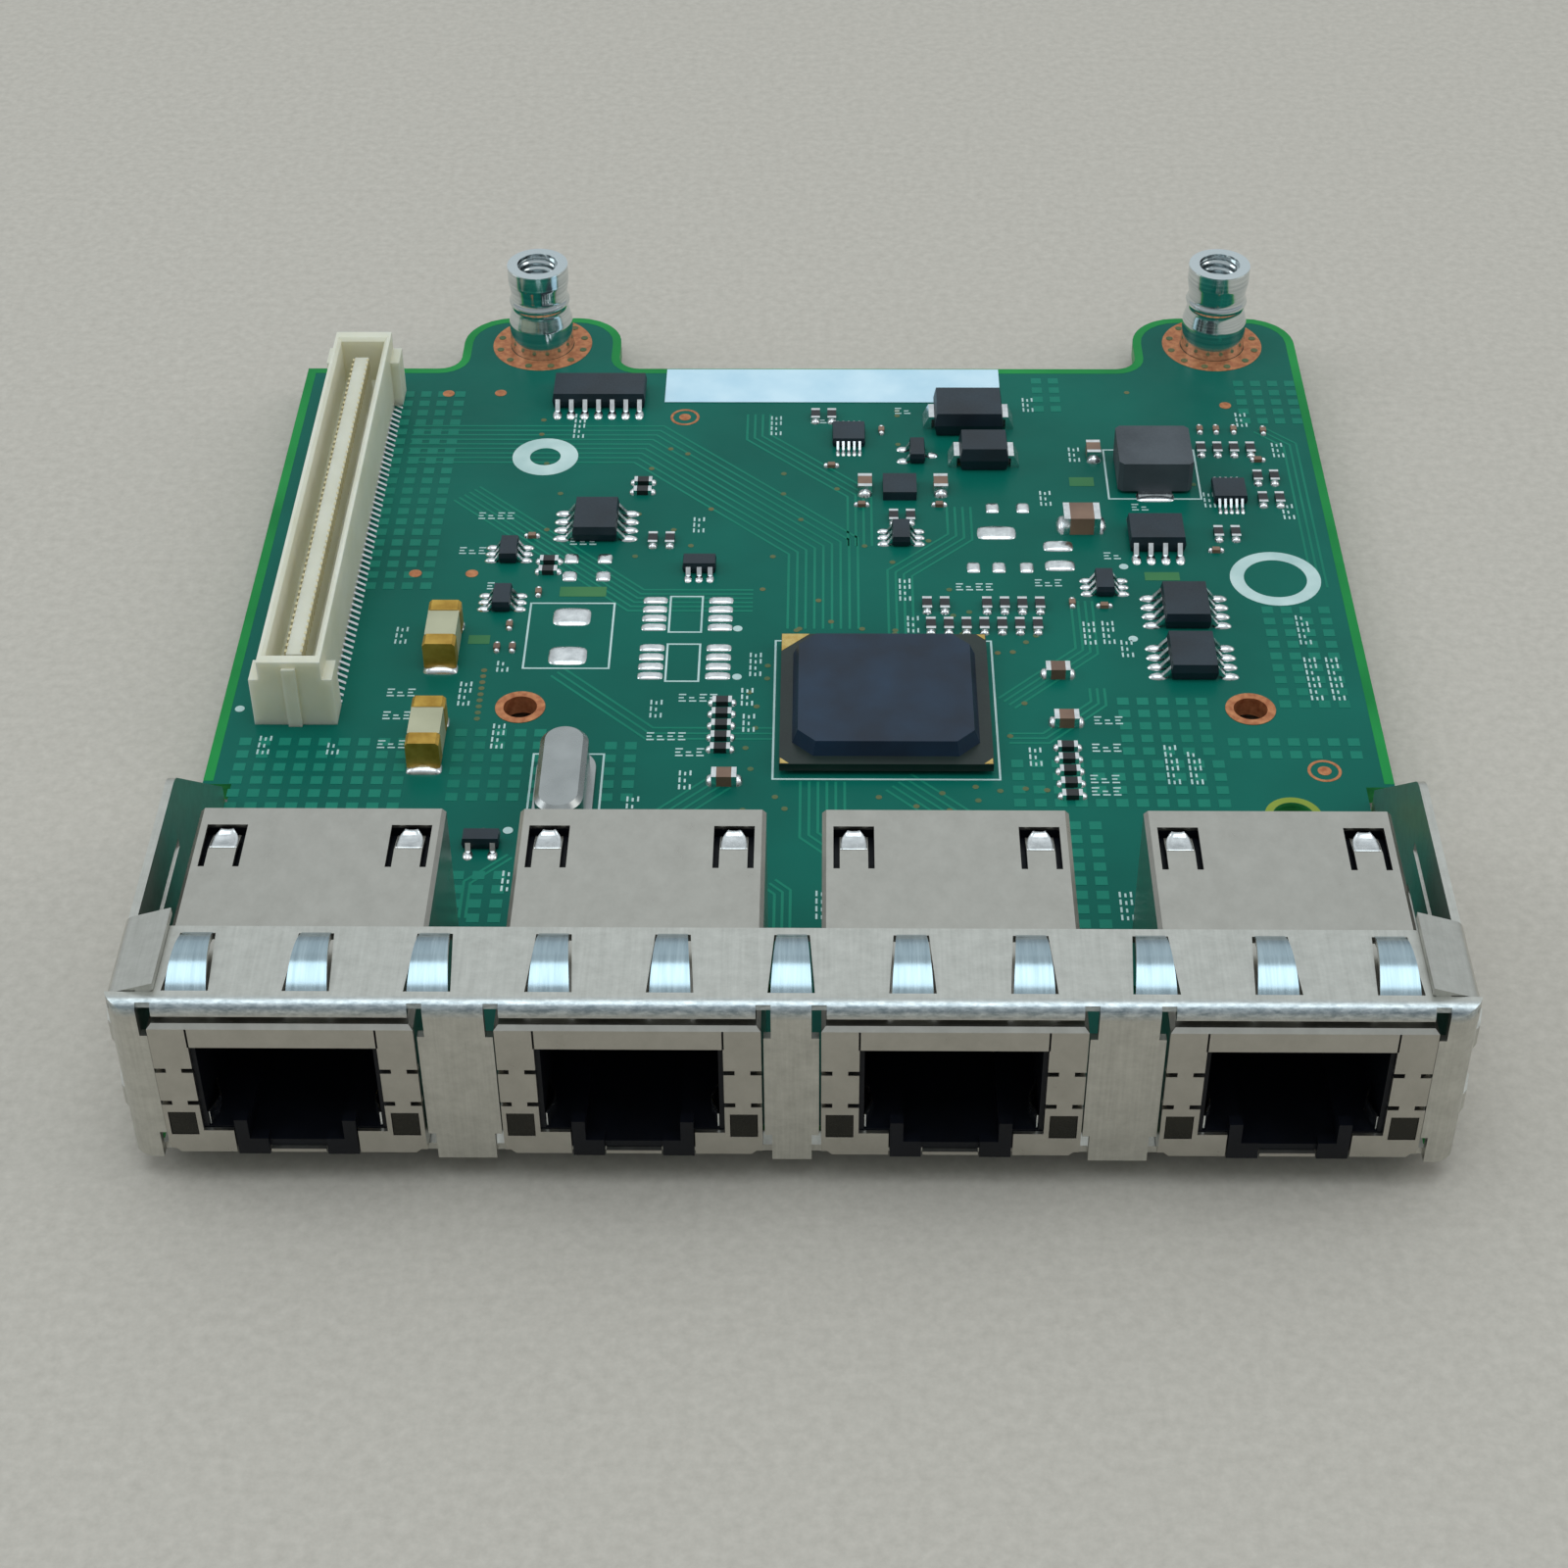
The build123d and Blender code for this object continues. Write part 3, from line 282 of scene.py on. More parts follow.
# Copper under the mask sends light back, so squares and traces are paler than the rest.
mask_copper = lacquered("solder_mask_over_copper", "#15725f", "#1e7d69")
mask_trace = lacquered("solder_mask_over_traces", "#14725d", "#1c7d66")
mask_via = lacquered("solder_mask_over_vias", "#4c6a4a", "#6d6a48")
bare_edge = lacquered("resin_round_a_hole", "#7d9038", "#9aa648")
# Painted glow: the rim over bare laminate is a brighter leaf green for the light that comes through it.
rim_with_painted_glow = lacquered("mask_over_bare_laminate_with_painted_glow", "#147a3c", "#259248")
thin_mask = lacquered("solder_mask_over_hatched_copper", "#35724a", "#4b7f4f")
print("board finishes:", len(bpy.data.materials))

# %% [markdown]
# Mouldings, ceramics and ink differ only in tone, gloss and grit, so one function makes them.
# Mould compound is filled with silica, which gives it a fine, matt grit. Natural polymer is
# ivory and slightly waxy, and pressed iron powder is grey and coarse.

# %% Mouldings, ceramics and ink
def moulding(name, dark, light, rough, grit_mm, depth_mm, shine=0.5):
    """Moulded or fired surface: two close tones, a grit, a roughness band and a shine."""
    material, tree, shader = new_finish(name, IOR=1.5, Specular_IOR_Level=shine)
    tone = ramp_of(tree, noise(tree, 4.0, 3.0), *BAND, dark, light)
    grit = noise(tree, grit_mm)
    gloss = between(tree, grit, *BAND, rough - 0.06, rough + 0.06)
    paint(tree, shader, tone, gloss)
    bump(tree, shader, grit, depth_mm)
    return material


black_polymer = moulding("black_jack_polymer", "#07090f", "#0d1018", 0.42, 0.3, 0.004, 0.22)
epoxy_black = moulding("black_mould_compound", "#101c25", "#1b2b36", 0.46, 0.15, 0.004)
epoxy_blue = moulding("blue_black_mould_compound", "#081b2d", "#112c43", 0.38, 0.12, 0.002, 0.4)
laminate_dark = moulding("dark_green_package_laminate", "#081613", "#10231d", 0.38, 0.2, 0.003)
ivory = moulding("natural_ivory_polymer", "#d4d1bb", "#dedbc8", 0.5, 0.3, 0.005)
ceramic_white = moulding("white_fired_ceramic", "#a3a184", "#b6b496", 0.35, 0.3, 0.004)
ceramic_brown = moulding("brown_dielectric_ceramic", "#6e5344", "#8f715c", 0.4, 0.2, 0.005)
film_black = moulding("black_resistor_glaze", "#121214", "#202023", 0.35, 0.2, 0.004)
powder_grey = moulding("pressed_iron_powder", "#343b41", "#464d53", 0.5, 0.2, 0.01)
potting = moulding("black_potting_resin", "#101012", "#1c1c1f", 0.45, 0.4, 0.01)
smoke_pipe = moulding("smoked_clear_polymer", "#16150f", "#25231a", 0.25, 0.5, 0.002, 0.25)
paper_white = moulding("white_label_paper", "#bbdcec", "#cfe9f5", 0.6, 0.15, 0.004)
ink = moulding("white_epoxy_ink", "#a2c0bd", "#c6dbd8", 0.6, 0.3, 0.004)
straw = moulding("straw_coloured_contact_film", "#c2b588", "#d8cca2", 0.4, 0.3, 0.003)

# Natural polymer lets light in a few millimetres deep, so its trough stays pale.
GLOW_DEPTH = 3
waxy = ivory.node_tree.nodes["Principled BSDF"].inputs
waxy["Subsurface Weight"].default_value = 0.5
waxy["Subsurface Radius"].default_value = (1.0, 0.9, 0.7)
waxy["Subsurface Scale"].default_value = GLOW_DEPTH * MM
print("finishes:", len(bpy.data.materials))

# %% [markdown]
# ## Giving the CAD nodes their finishes
# The solids keep their shape. Each one only needs the material of the real piece in its
# first slot, so a table of node names and finishes is enough. Bodies that aren't in the
# tables are mould compound, and what is left is tinned metal.

# %% Finishes on the solids
FINISH_OF = dict(
    circuit_board=mask_green, io_bracket=bracket_steel, mezzanine_housing=ivory, post_left=post_zinc,
    post_right=post_zinc, controller_substrate=laminate_dark, controller_cap=epoxy_blue,
    crystal_base=can_metal, crystal_can=can_metal, fuse_bodies=ceramic_white, fuse_caps=cap_brass,
    inductor_core=powder_grey, capacitor_bodies=ceramic_brown, resistor_bodies=film_black,
)
FINISH_STARTS = dict(
    jack_shield=shield_nickel, jack_housing=black_polymer, jack_contacts=gold,
    jack_light_pipes=smoke_pipe, jack_magnetics=potting,
)
for name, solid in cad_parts.items():
    start = next((f for key, f in FINISH_STARTS.items() if name.startswith(key)), None)
    packed = epoxy_black if name.endswith(("_body", "_bodies")) else tin
    solid.data.materials.clear()
    solid.data.materials.append(FINISH_OF.get(name) or start or packed)
print("dressed", len(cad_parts), "solids")

# %% [markdown]
# ## A mesh from arrays
# Every added piece is one array of points in millimetres and one array of four-cornered
# faces. Points are given as the board sees them: X across, Y from the measuring plane at the
# jacks and Z from the board's top, so the offset to the card's frame is added in one place.

# %% Points to pieces
SHARP = np.radians(40)  # smooth faces that meet at more than this keep an edge


def linked(name, data):
    """New object in the scene."""
    made = bpy.data.objects.new(name, data)
    bpy.context.scene.collection.objects.link(made)
    return made


def make_piece(name, points, quads, finish, slot, smooth=False):
    """Put (n, 3) points and (m, 4) corner numbers into a mesh that rides on the card."""
    mesh = bpy.data.meshes.new(name)
    placed = (points + (0, FRONT, TOP)) * MM
    mesh.vertices.add(len(placed))
    mesh.vertices.foreach_set("co", placed.astype(np.float32).ravel())
    quads = np.asarray(quads, np.int32)
    mesh.loops.add(quads.size)
    mesh.loops.foreach_set("vertex_index", quads.ravel())
    mesh.polygons.add(len(quads))
    mesh.polygons.foreach_set("loop_start", np.arange(0, quads.size, 4, dtype=np.int32))
    mesh.polygons.foreach_set("use_smooth", np.full(len(quads), smooth))
    mesh.update(calc_edges=True)
    mesh.validate()
    if smooth:
        mesh.set_sharp_from_angle(angle=SHARP)
    mesh.materials.append(finish)
    made = linked(name, mesh)
    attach(made, "root")
    print(name, len(quads), "faces")
    return made


print("edges stay sharp above", round(np.degrees(SHARP)), "degrees")


# %% Places and copies
def points_of(x, y, z):
    """(n, 3) points from coordinates, each an array or one number for all."""
    return np.stack(np.broadcast_arrays(x, y, z), -1).reshape(-1, 3)


def at(*xy):
    """Places on the board's top."""
    return points_of(*np.array(xy, float).T, 0)


def middle(name):
    """Middle of a solid's box on the board."""
    low, high = np.array(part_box(name)) / MM
    x, y, _ = (low + high) / 2
    return x, y - FRONT


def copies(points, quads, places):
    """Repeat one shape at each (k, 3) place: points are shifted and face numbers counted on."""
    many = (points[None] + places[:, None]).reshape(-1, 3)
    steps = np.arange(len(places))[:, None, None] * len(points)
    return many, (quads[None] + steps).reshape(-1, 4)


def joined(*shapes):
    """Several (points, quads) shapes as one."""
    counts = np.cumsum([0] + [len(p) for p, _ in shapes])
    quads = [q + c for (_, q), c in zip(shapes, counts)]
    return np.concatenate([p for p, _ in shapes]), np.concatenate(quads)


def flipped(points, quads):
    """The same shape hanging below the board: Z is turned over at the board's middle."""
    return points * (1, 1, -1) - (0, 0, BOARD), quads[:, ::-1]


def thickened(piece, thickness_mm):
    """Give an open sheet its thickness, downwards."""
    sheet = piece.modifiers.new("sheet_thickness", "SOLIDIFY")
    sheet.thickness = thickness_mm * MM
    sheet.offset = -1


POSTS = at(middle("post_left"), middle("post_right"))
JACKS = at(*[(middle(f"jack_shield_{k}")[0], 0) for k in (1, 2, 3, 4)])
print("jacks at", JACKS[:, 0].round(2))

# %% [markdown]
# Two shapes cover most of the small things on a board. A box is eight corners, each of them
# the low corner plus a unit corner times the size. A turned shape is a profile of radius and
# height that is carried round a circle. Its faces, and those of open sheets and closed bars,
# follow from how the points are numbered, so each numbering has a function.

# %% Boxes
BOX_CORNERS = np.array([[i, j, k] for k in (0, 1) for j in (0, 1) for i in (0, 1)], float)
BOX_QUADS = np.array([[0, 2, 3, 1], [4, 5, 7, 6], [0, 1, 5, 4], [2, 6, 7, 3], [0, 4, 6, 2], [1, 3, 7, 5]])


def boxes(low, high):
    """Boxes between (k, 3) low and high corners: each corner is low + unit corner times size."""
    low, high = np.array(low, float), np.array(high, float)
    points = (low[:, None] + BOX_CORNERS[None] * (high - low)[:, None]).reshape(-1, 3)
    steps = np.arange(len(low))[:, None, None] * 8
    return points, (BOX_QUADS[None] + steps).reshape(-1, 4)


def blocks(x, y, half_x, half_y, height):
    """Boxes on the board's top, round their middles."""
    return boxes(points_of(x - half_x, y - half_y, 0), points_of(x + half_x, y + half_y, height))


print("a box has", len(BOX_QUADS), "faces")


# %% Faces of sheets, rings and bars
def grid_quads(count_u, count_v):
    """Faces of an open sheet of points, numbered along v first."""
    i, j = np.meshgrid(np.arange(count_u - 1), np.arange(count_v - 1), indexing="ij")
    a = i * count_v + j
    return np.stack([a, a + count_v, a + count_v + 1, a + 1], -1).reshape(-1, 4)


def ring_quads(segments, count):
    """Faces of a profile of points that is carried round a full turn."""
    i, j = np.meshgrid(np.arange(segments), np.arange(count - 1), indexing="ij")
    a, b = i * count + j, ((i + 1) % segments) * count + j
    return np.stack([a, b, b + 1, a + 1], -1).reshape(-1, 4)


def bar_quads(count):
    """Faces of a bar with four corners at each of its places, closed at both ends."""
    i, j = np.meshgrid(np.arange(count - 1), np.arange(4), indexing="ij")
    a, b = i * 4 + j, i * 4 + (j + 1) % 4
    sides = np.stack([a, b, b + 4, a + 4], -1).reshape(-1, 4)
    last = 4 * (count - 1)
    return np.concatenate([sides, [[3, 2, 1, 0]], [[last, last + 1, last + 2, last + 3]]])


print("a bar of three places has", len(bar_quads(3)), "faces")

# %% Turned shapes
POLE = 0.001  # radius that ends a profile near its axis, where 0 would fold faces up


def turned(profile, segments, stretch=(1.0, 1.0)):
    """Profile of (radius, height) carried round a circle: x = r cos t, y = r sin t, z = h."""
    profile = np.asarray(profile, float)
    t = np.linspace(0, 2 * np.pi, segments, endpoint=False)
    x = np.outer(np.cos(t), profile[:, 0]) * stretch[0]
    y = np.outer(np.sin(t), profile[:, 0]) * stretch[1]
    return points_of(x, y, profile[:, 1]), ring_quads(segments, len(profile))


def ring_profile(inner, outer, height):
    """Closed section of a flat ring with softened outer and inner top edges."""
    soft = height * 0.4
    return [
        (outer, 0), (outer, height - soft), (outer - soft, height),
        (inner + soft, height), (inner, height - soft), (inner, 0), (outer, 0),
    ]


print("a ring's section has", len(ring_profile(1, 2, 0.1)), "points")

# %% [markdown]
# ## Copper lands
# Bare copper shows as broad rings round the posts, as lined holes for the heat sink's pins and
# as dots that a placing machine looks for. The lining is one closed section: a flange on top,
# a thin wall down the hole and a flange below.

# %% Copper rings, lined holes and dots
LAND_T = 0.05  # copper above the bare board
POST_LAND = (3.05, 4.75)  # inner and outer radius
FLANGE_R, LINED_R, DRILLED_R = 2.05, 1.38, 1.44  # of a lined hole
SINK_HOLES = at((-22.7, 49.31), (36.8, 49.31))
RINGED = [(-10.9, 92.5), (41.8, 41.5)]
DOTS = RINGED + [(39.4, 94.6), (-33.3, 96.5), (-28.4, 96.6), (-33.3, 67.8), (-28.4, 67.8)]
LINING = [
    (FLANGE_R, 0), (FLANGE_R, LAND_T), (LINED_R, LAND_T), (LINED_R, -BOARD - LAND_T),
    (FLANGE_R, -BOARD - LAND_T), (FLANGE_R, -BOARD), (DRILLED_R, -BOARD), (DRILLED_R, 0), (FLANGE_R, 0),
]
post_land = copies(*turned(ring_profile(*POST_LAND, LAND_T), 64), POSTS)
sink_land = copies(*turned(LINING, 48), SINK_HOLES)
dot_land = copies(*turned([(0.55, 0), (0.55, 0.03), (0.45, 0.04), (POLE, 0.04)], 24), at(*DOTS))
dot_ring = copies(*turned(ring_profile(1.1, 1.35, 0.03), 32), at(*RINGED))
lands = joined(post_land, sink_land, dot_land, dot_ring)
make_piece("copper_lands", *lands, copper, "gold_contact", True)

# Vias through the post lands: a circle of small masked spots on each ring.
VIA_CIRCLE = 4.1
angle = np.radians(np.arange(15, 375, 30))
round_post = points_of(VIA_CIRCLE * np.cos(angle), VIA_CIRCLE * np.sin(angle), LAND_T)
stud = turned([(0.34, 0), (0.34, 0.03), (0.2, 0.04), (POLE, 0.02)], 12)
studs = copies(*copies(*stud, round_post), POSTS)
make_piece("land_vias", *studs, mask_via, "soldermask_board", True)
tool_ring = copies(*turned(ring_profile(1.63, 2.25, 0.02), 40), at((38.7, 36.0)))
make_piece("tooling_ring", *tool_ring, bare_edge, "soldermask_board")

# %% [markdown]
# ## Copper under the mask
# Empty corners of a board are filled with small copper squares so that it plates evenly,
# and traces run between packages in straight and 45-degree stretches. Both lie under the
# lacquer and show only as paler green. The squares are a grid of very thin plates, and a
# trace is a strip of constant width along a line.

# %% Thieving squares
MASK_T = 0.02  # rise of the mask over copper
SQUARE, SQUARE_PITCH = 0.95, 1.6
FILLED = [
    (-44.5, -31.0, 36.8, 46.0), (-27.4, -22.3, 24.0, 29.5), (-27.2, -20.5, 38.0, 46.5),
    (-37.0, -31.0, 66.0, 98.0), (-15.0, -11.8, 38.0, 44.5), (17.5, 34.0, 37.5, 43.0),
    (26.5, 34.0, 43.9, 51.3), (35.0, 45.5, 43.5, 46.5), (39.7, 46.0, 50.0, 64.0),
    (21.6, 24.0, 22.0, 36.0), (41.0, 46.0, 92.0, 100.0), (22.0, 24.0, 94.0, 100.0),
]


def square_places(x0, x1, y0, y1):
    """Grid of places at the squares' pitch inside a field."""
    x = np.arange(x0, x1, SQUARE_PITCH)
    y = np.arange(y0, y1, SQUARE_PITCH)
    return points_of(*np.meshgrid(x, y), 0)


places = np.concatenate([square_places(*field) for field in FILLED])
square = blocks(0, 0, SQUARE / 2, SQUARE / 2, MASK_T)
make_piece("thieving_squares", *copies(*square, places), mask_copper, "soldermask_board")


# %% Strips along a line
def mitred(path):
    """Sideways step at each point of a line: the mean of its neighbours' normals, lengthened
    so that a shifted line keeps its distance at the corners."""
    step = np.diff(path, axis=0)
    step /= np.linalg.norm(step, axis=1, keepdims=True)
    side = np.stack([-step[:, 1], step[:, 0]], -1)
    mitre = np.concatenate([side[:1], side]) + np.concatenate([side, side[-1:]])
    return mitre / (mitre * np.concatenate([side, side[-1:]])).sum(1, keepdims=True)


def strip(path, width, low, high):
    """Closed strip along a flat line: a rectangle of one width between two heights is carried
    along the line, its corners on the line plus and minus half a width of the mitred step."""
    shift = mitred(path) * width / 2
    left, right = path + shift, path - shift
    corners = [(left, low), (left, high), (right, high), (right, low)]
    rows = [points_of(*side.T, z) for side, z in corners]
    return np.stack(rows, 1).reshape(-1, 3), bar_quads(len(path))


print("strip helpers ready")

# %% Traces
TRACE_W, TRACE_T = 0.22, 0.015


def bundle(path, count, pitch):
    """Several traces side by side: each one is the line shifted along its mitred step."""
    path = np.asarray(path, float)
    shifts = (np.arange(count) - (count - 1) / 2) * pitch
    return [strip(path + mitred(path) * s, TRACE_W, 0, TRACE_T) for s in shifts]


ROUTES = [
    ([(-36, 88), (-14, 88), (2, 72), (2, 60)], 9, 0.75),
    ([(-30, 80), (-14, 64), (-4, 64)], 6, 0.6),
    ([(-20, 54), (-12, 46), (-2, 46)], 3, 0.7),
    ([(2, 40), (2, 34), (4, 32), (4, 26)], 6, 0.7),
    ([(8, 40), (14, 34), (14, 24)], 5, 0.7),
    ([(-6, 40), (-10, 36), (-10, 24)], 4, 0.7),
    ([(-2, 28), (-1, 27), (-1, 22)], 3, 0.6),
    ([(17, 50), (24, 57), (24, 64)], 4, 0.6),
    ([(17, 45.5), (20, 45.5), (24.5, 50), (24.5, 52)], 3, 0.6),
    ([(8.6, 59), (8.6, 68), (14, 73.4), (14, 78)], 4, 0.7),
    ([(-25, 24), (-25, 28), (-22, 31)], 2, 0.5),
    ([(44.6, 66), (44.6, 88), (42, 90.6)], 3, 0.6),
    ([(5.2, 72), (5.2, 80), (-4, 89.2), (-4, 93)], 4, 0.7),
]
strips = [made for route in ROUTES for made in bundle(*route)]
make_piece("mask_traces", *joined(*strips), mask_trace, "soldermask_board")

# Plain patches where the mask lies over hatched copper.
PATCHES = [(-18.6, 65.2, 2.0, 0.7), (-26.9, 58.4, 0.9, 0.6), (31.2, 67.6, 1.5, 0.6), (25.2, 82.0, 1.1, 0.7)]
patches = blocks(*np.array(PATCHES).T, MASK_T)
make_piece("hatched_patches", *patches, thin_mask, "soldermask_board")

# %% Vias
VIA_STEP = 0.8  # grid of the vias at the rear
SPREAD_VIAS, CHIP_VIAS = 46, 70
rng = np.random.default_rng(7)
columns = points_of(-26.1, np.linspace(47.8, 54.2, 9), 0)
spread = np.round(rng.uniform((-24, 60, 0), (40, 99, 0), (SPREAD_VIAS, 3)) / VIA_STEP) * VIA_STEP
chip_rim = rng.uniform((-5, 36, 0), (20, 62, 0), (CHIP_VIAS, 3))
CHIP_CLEAR = 9.4  # half of the square under the controller that stays free
inside = (np.abs(chip_rim[:, :2] - middle("controller_substrate")) < CHIP_CLEAR).all(1)
via = turned([(0.26, 0), (0.26, 0.02), (0.2, 0.03), (POLE, 0.02)], 10)
grid = points_of(*np.meshgrid(np.linspace(1.5, 12.6, 9), np.linspace(43.8, 54.8, 9)), 0)
below = flipped(*copies(*via, grid))
above = copies(*via, np.concatenate([columns, spread, chip_rim[~inside]]))
make_piece("tented_vias", *joined(above, below), mask_via, "soldermask_board", True)

# %% [markdown]
# ## Printed outlines
# The white legend outlines packages that are fitted or left off, marks first pins with dots
# and has short groups of dashes beside the parts. Frames and dashes are thin bars, and dots
# are flat discs.

# %% Bars of ink
INK, LINE = 0.03, 0.17  # thickness and line width
DASHES = [(0.0, 0.0, 0.6, 0.16), (0.0, 0.42, 0.42, 0.58), (0.0, 0.84, 0.6, 1.0)]
MARK_STEP = 0.85


def frame_bars(x0, x1, y0, y1):
    """Four bars of one line width round a rectangle."""
    w = LINE
    low = [(x0, y0, 0), (x0, y1 - w, 0), (x0, y0 + w, 0), (x1 - w, y0 + w, 0)]
    high = [(x1, y0 + w, INK), (x1, y1, INK), (x0 + w, y1 - w, INK), (x1, y1 - w, INK)]
    return boxes(low, high)


def marks(x, y, count, across):
    """Row of small marks, each of three stacked dashes, with two in every third mark. A row
    that runs along Y has its marks turned by a quarter."""
    dashes = [(*d, i * MARK_STEP) for i in range(count) for d in DASHES[:2 if i % 3 == 1 else 3]]
    bars = np.array(dashes)
    along0, along1 = bars[:, 0] + bars[:, 4], bars[:, 2] + bars[:, 4]
    up0, up1 = bars[:, 1] - 0.5, bars[:, 3] - 0.5
    spans = (along0, along1, up0, up1) if across else (up0, up1, along0, along1)
    low = points_of(x + spans[0], y + spans[2], 0)
    return boxes(low, points_of(x + spans[1], y + spans[3], INK))


print("a mark has up to", len(DASHES), "dashes")

# %% Legend ink
FRAMES = [
    (-2.05, 16.15, 40.2, 58.4), (-23.0, -15.7, 54.4, 63.6), (-11.1, -8.2, 59.4, 64.6),
    (-11.1, -8.2, 52.7, 57.9), (-21.2, -15.4, 31.0, 43.4), (27.4, 35.8, 79.2, 87.2),
]
LEVEL_MARKS = [
    (-33.8, 51.2, 3), (-33.8, 48.2, 3), (-33.8, 44.5, 3), (-9.8, 50.6, 4), (-12.2, 45.6, 4),
    (-9.8, 43.6, 3), (23.6, 44.3, 3), (23.2, 40.4, 3), (23.2, 38.9, 3), (24.0, 47.8, 3), (13.4, 66.0, 4),
    (20.2, 66.6, 3), (-26.9, 66.0, 2), (-29.8, 71.2, 3), (-28.6, 76.5, 4), (-20.2, 72.6, 3), (0.8, 92.0, 3),
    (8.6, 93.6, 2), (29.4, 78.0, 2), (26.4, 70.6, 2),
]
UPRIGHT_MARKS = [
    (-27.4, 49.5, 4), (-33.5, 57.8, 3), (-24.2, 44.0, 4), (-11.6, 48.0, 3), (-8.9, 39.0, 3),
    (-12.9, 35.8, 3), (-4.2, 49.6, 3), (-4.0, 46.2, 3), (-3.6, 53.5, 4), (19.0, 42.0, 3), (29.8, 39.8, 6),
    (31.6, 39.8, 5), (42.4, 58.0, 5), (42.4, 50.5, 7), (44.2, 50.5, 7), (24.4, 57.9, 4), (26.0, 58.0, 4),
    (27.4, 56.2, 3), (9.0, 64.0, 4), (9.6, 59.5, 3), (-42.9, 43.2, 3), (-37.3, 43.2, 2), (-24.6, 54.0, 2),
    (-9.0, 74.0, 3), (-2.4, 89.5, 4), (21.0, 93.5, 3), (24.8, 85.2, 3), (21.8, 78.2, 3), (36.4, 78.0, 3),
    (43.2, 76.2, 3), (40.6, 91.0, 3), (43.4, 86.0, 3), (-21.9, 27.0, 3), (2.0, 24.0, 4), (24.9, 24.0, 4),
    (-20.6, 89.0, 5),
]
PIN_DOTS = at((-22.4, 34.0), (28.0, 58.7), (28.0, 69.0), (-5.2, 60.0), (-5.1, 53.4), (-45.6, 49.0))
pin_dot = turned([(0.4, 0), (0.4, INK), (POLE, INK)], 16)
shapes = [frame_bars(*sides) for sides in FRAMES]
shapes += [marks(*row, True) for row in LEVEL_MARKS] + [marks(*row, False) for row in UPRIGHT_MARKS]
make_piece("legend_ink", *joined(*shapes, copies(*pin_dot, PIN_DOTS)), ink, "white_ceramic")

# Plain printed rounds, left without signs.
small_round = copies(*turned(ring_profile(1.4, 3.0, INK), 40), at((-23.4, 85.9)))
large_round = copies(*turned(ring_profile(2.7, 3.9, INK), 48), at((40.9, 67.3)))
make_piece("legend_rounds", *joined(small_round, large_round), ink, "white_ceramic")

# %% [markdown]
# ## Label
# A strip of white paper lies along the rear edge. It is a thin sheet with a slightly lifted rim:
# its height grows with a high power of the distance from its middle.

# %% Rear label
LABEL_X, LABEL_Y = -12.9, 95.0  # its left front corner
LABEL_L, LABEL_W, LABEL_T = 31.4, 5.7, 0.05
LABEL_Z = 0.06  # top of the paper
u, v = np.meshgrid(np.linspace(0, 1, 33), np.linspace(0, 1, 9), indexing="ij")
lift = LABEL_Z + 0.02 * np.maximum(np.abs(2 * u - 1) ** 30, np.abs(2 * v - 1) ** 16)
sheet = points_of(LABEL_X + LABEL_L * u, LABEL_Y + LABEL_W * v, lift)
rear_label = make_piece("rear_label", sheet, grid_quads(*u.shape), paper_white, "white_ceramic")
thickened(rear_label, LABEL_T)

# %% [markdown]
# ## Solder
# Molten solder wets a pad and pulls up against the lead, so each foot sits in a low dome.
# Empty pads keep a plain pillow. A dome is a quarter circle carried round an ellipse, and a
# pillow is a dome whose outline is pulled out to a rounded rectangle.

# %% Solder on empty pads
def dome(half_x, half_y, height, segments=16, rings=5):
    """Half ellipsoid: radius cos s, height sin s, for s from 0 to a quarter turn."""
    s = np.linspace(0, np.pi / 2, rings)
    profile = np.stack([np.cos(s) + 1e-4, np.sin(s) * height], -1)
    return turned(profile, segments, (half_x, half_y))


def pillow(half_x, half_y, height, power=0.45, segments=24, rings=5):
    """Dome with a rounded rectangular rim: its unit x and y are raised to a low power."""
    points, quads = dome(1.0, 1.0, height, segments, rings)
    radius = np.hypot(points[:, 0], points[:, 1])
    unit = points[:, :2] / np.maximum(radius, 1e-9)[:, None]
    shaped = np.sign(unit) * np.abs(unit) ** power * radius[:, None]
    return np.column_stack([shaped * (half_x, half_y), points[:, 2]]), quads


LEAD_PITCH = 1.27
PAD_COLUMNS, PAD_STARTS = (-12.3, -6.7), (53.5, 60.15)
eight_pads = at(*[(x, y + LEAD_PITCH * k) for x in PAD_COLUMNS for y in PAD_STARTS for k in range(4)])
FUSES, FUSE_REACH = (44.37, 57.31), 2.95
fuse_ends = at(*[(-29.72, y + s * FUSE_REACH) for y in FUSES for s in (-1, 1)])
small_pads = at((17.0, 77.8), (19.7, 77.8), (15.0, 68.8), (17.2, 68.8), (19.6, 68.8))
shapes = [
    copies(*pillow(1.05, 0.48, 0.2), eight_pads),
    copies(*pillow(1.6, 1.25, 0.28), at((-19.3, 61.6), (-19.3, 56.2))),
    copies(*pillow(0.65, 0.7, 0.26), at((-19.9, 70.0), (-17.0, 70.0), (-19.9, 67.4), (-17.0, 67.4))),
    copies(*pillow(1.7, 1.0, 0.28), at((17.2, 74.0))),
    copies(*pillow(0.6, 0.75, 0.25), small_pads),
    copies(*pillow(1.3, 0.75, 0.28), at((22.5, 72.0), (22.5, 69.1))),
    copies(*pillow(1.7, 0.75, 0.25), at((31.6, 79.6), (31.6, 86.7))),
    copies(*pillow(1.45, 0.75, 0.5), fuse_ends),
]
print("pad shapes:", len(shapes))


# %% Solder at lead feet
def spot(u, v):
    """Place on the board from the shares used in the CAD layout."""
    return u * BOARD_HALF, JACK_REAR + v * (BOARD_REAR - JACK_REAR)


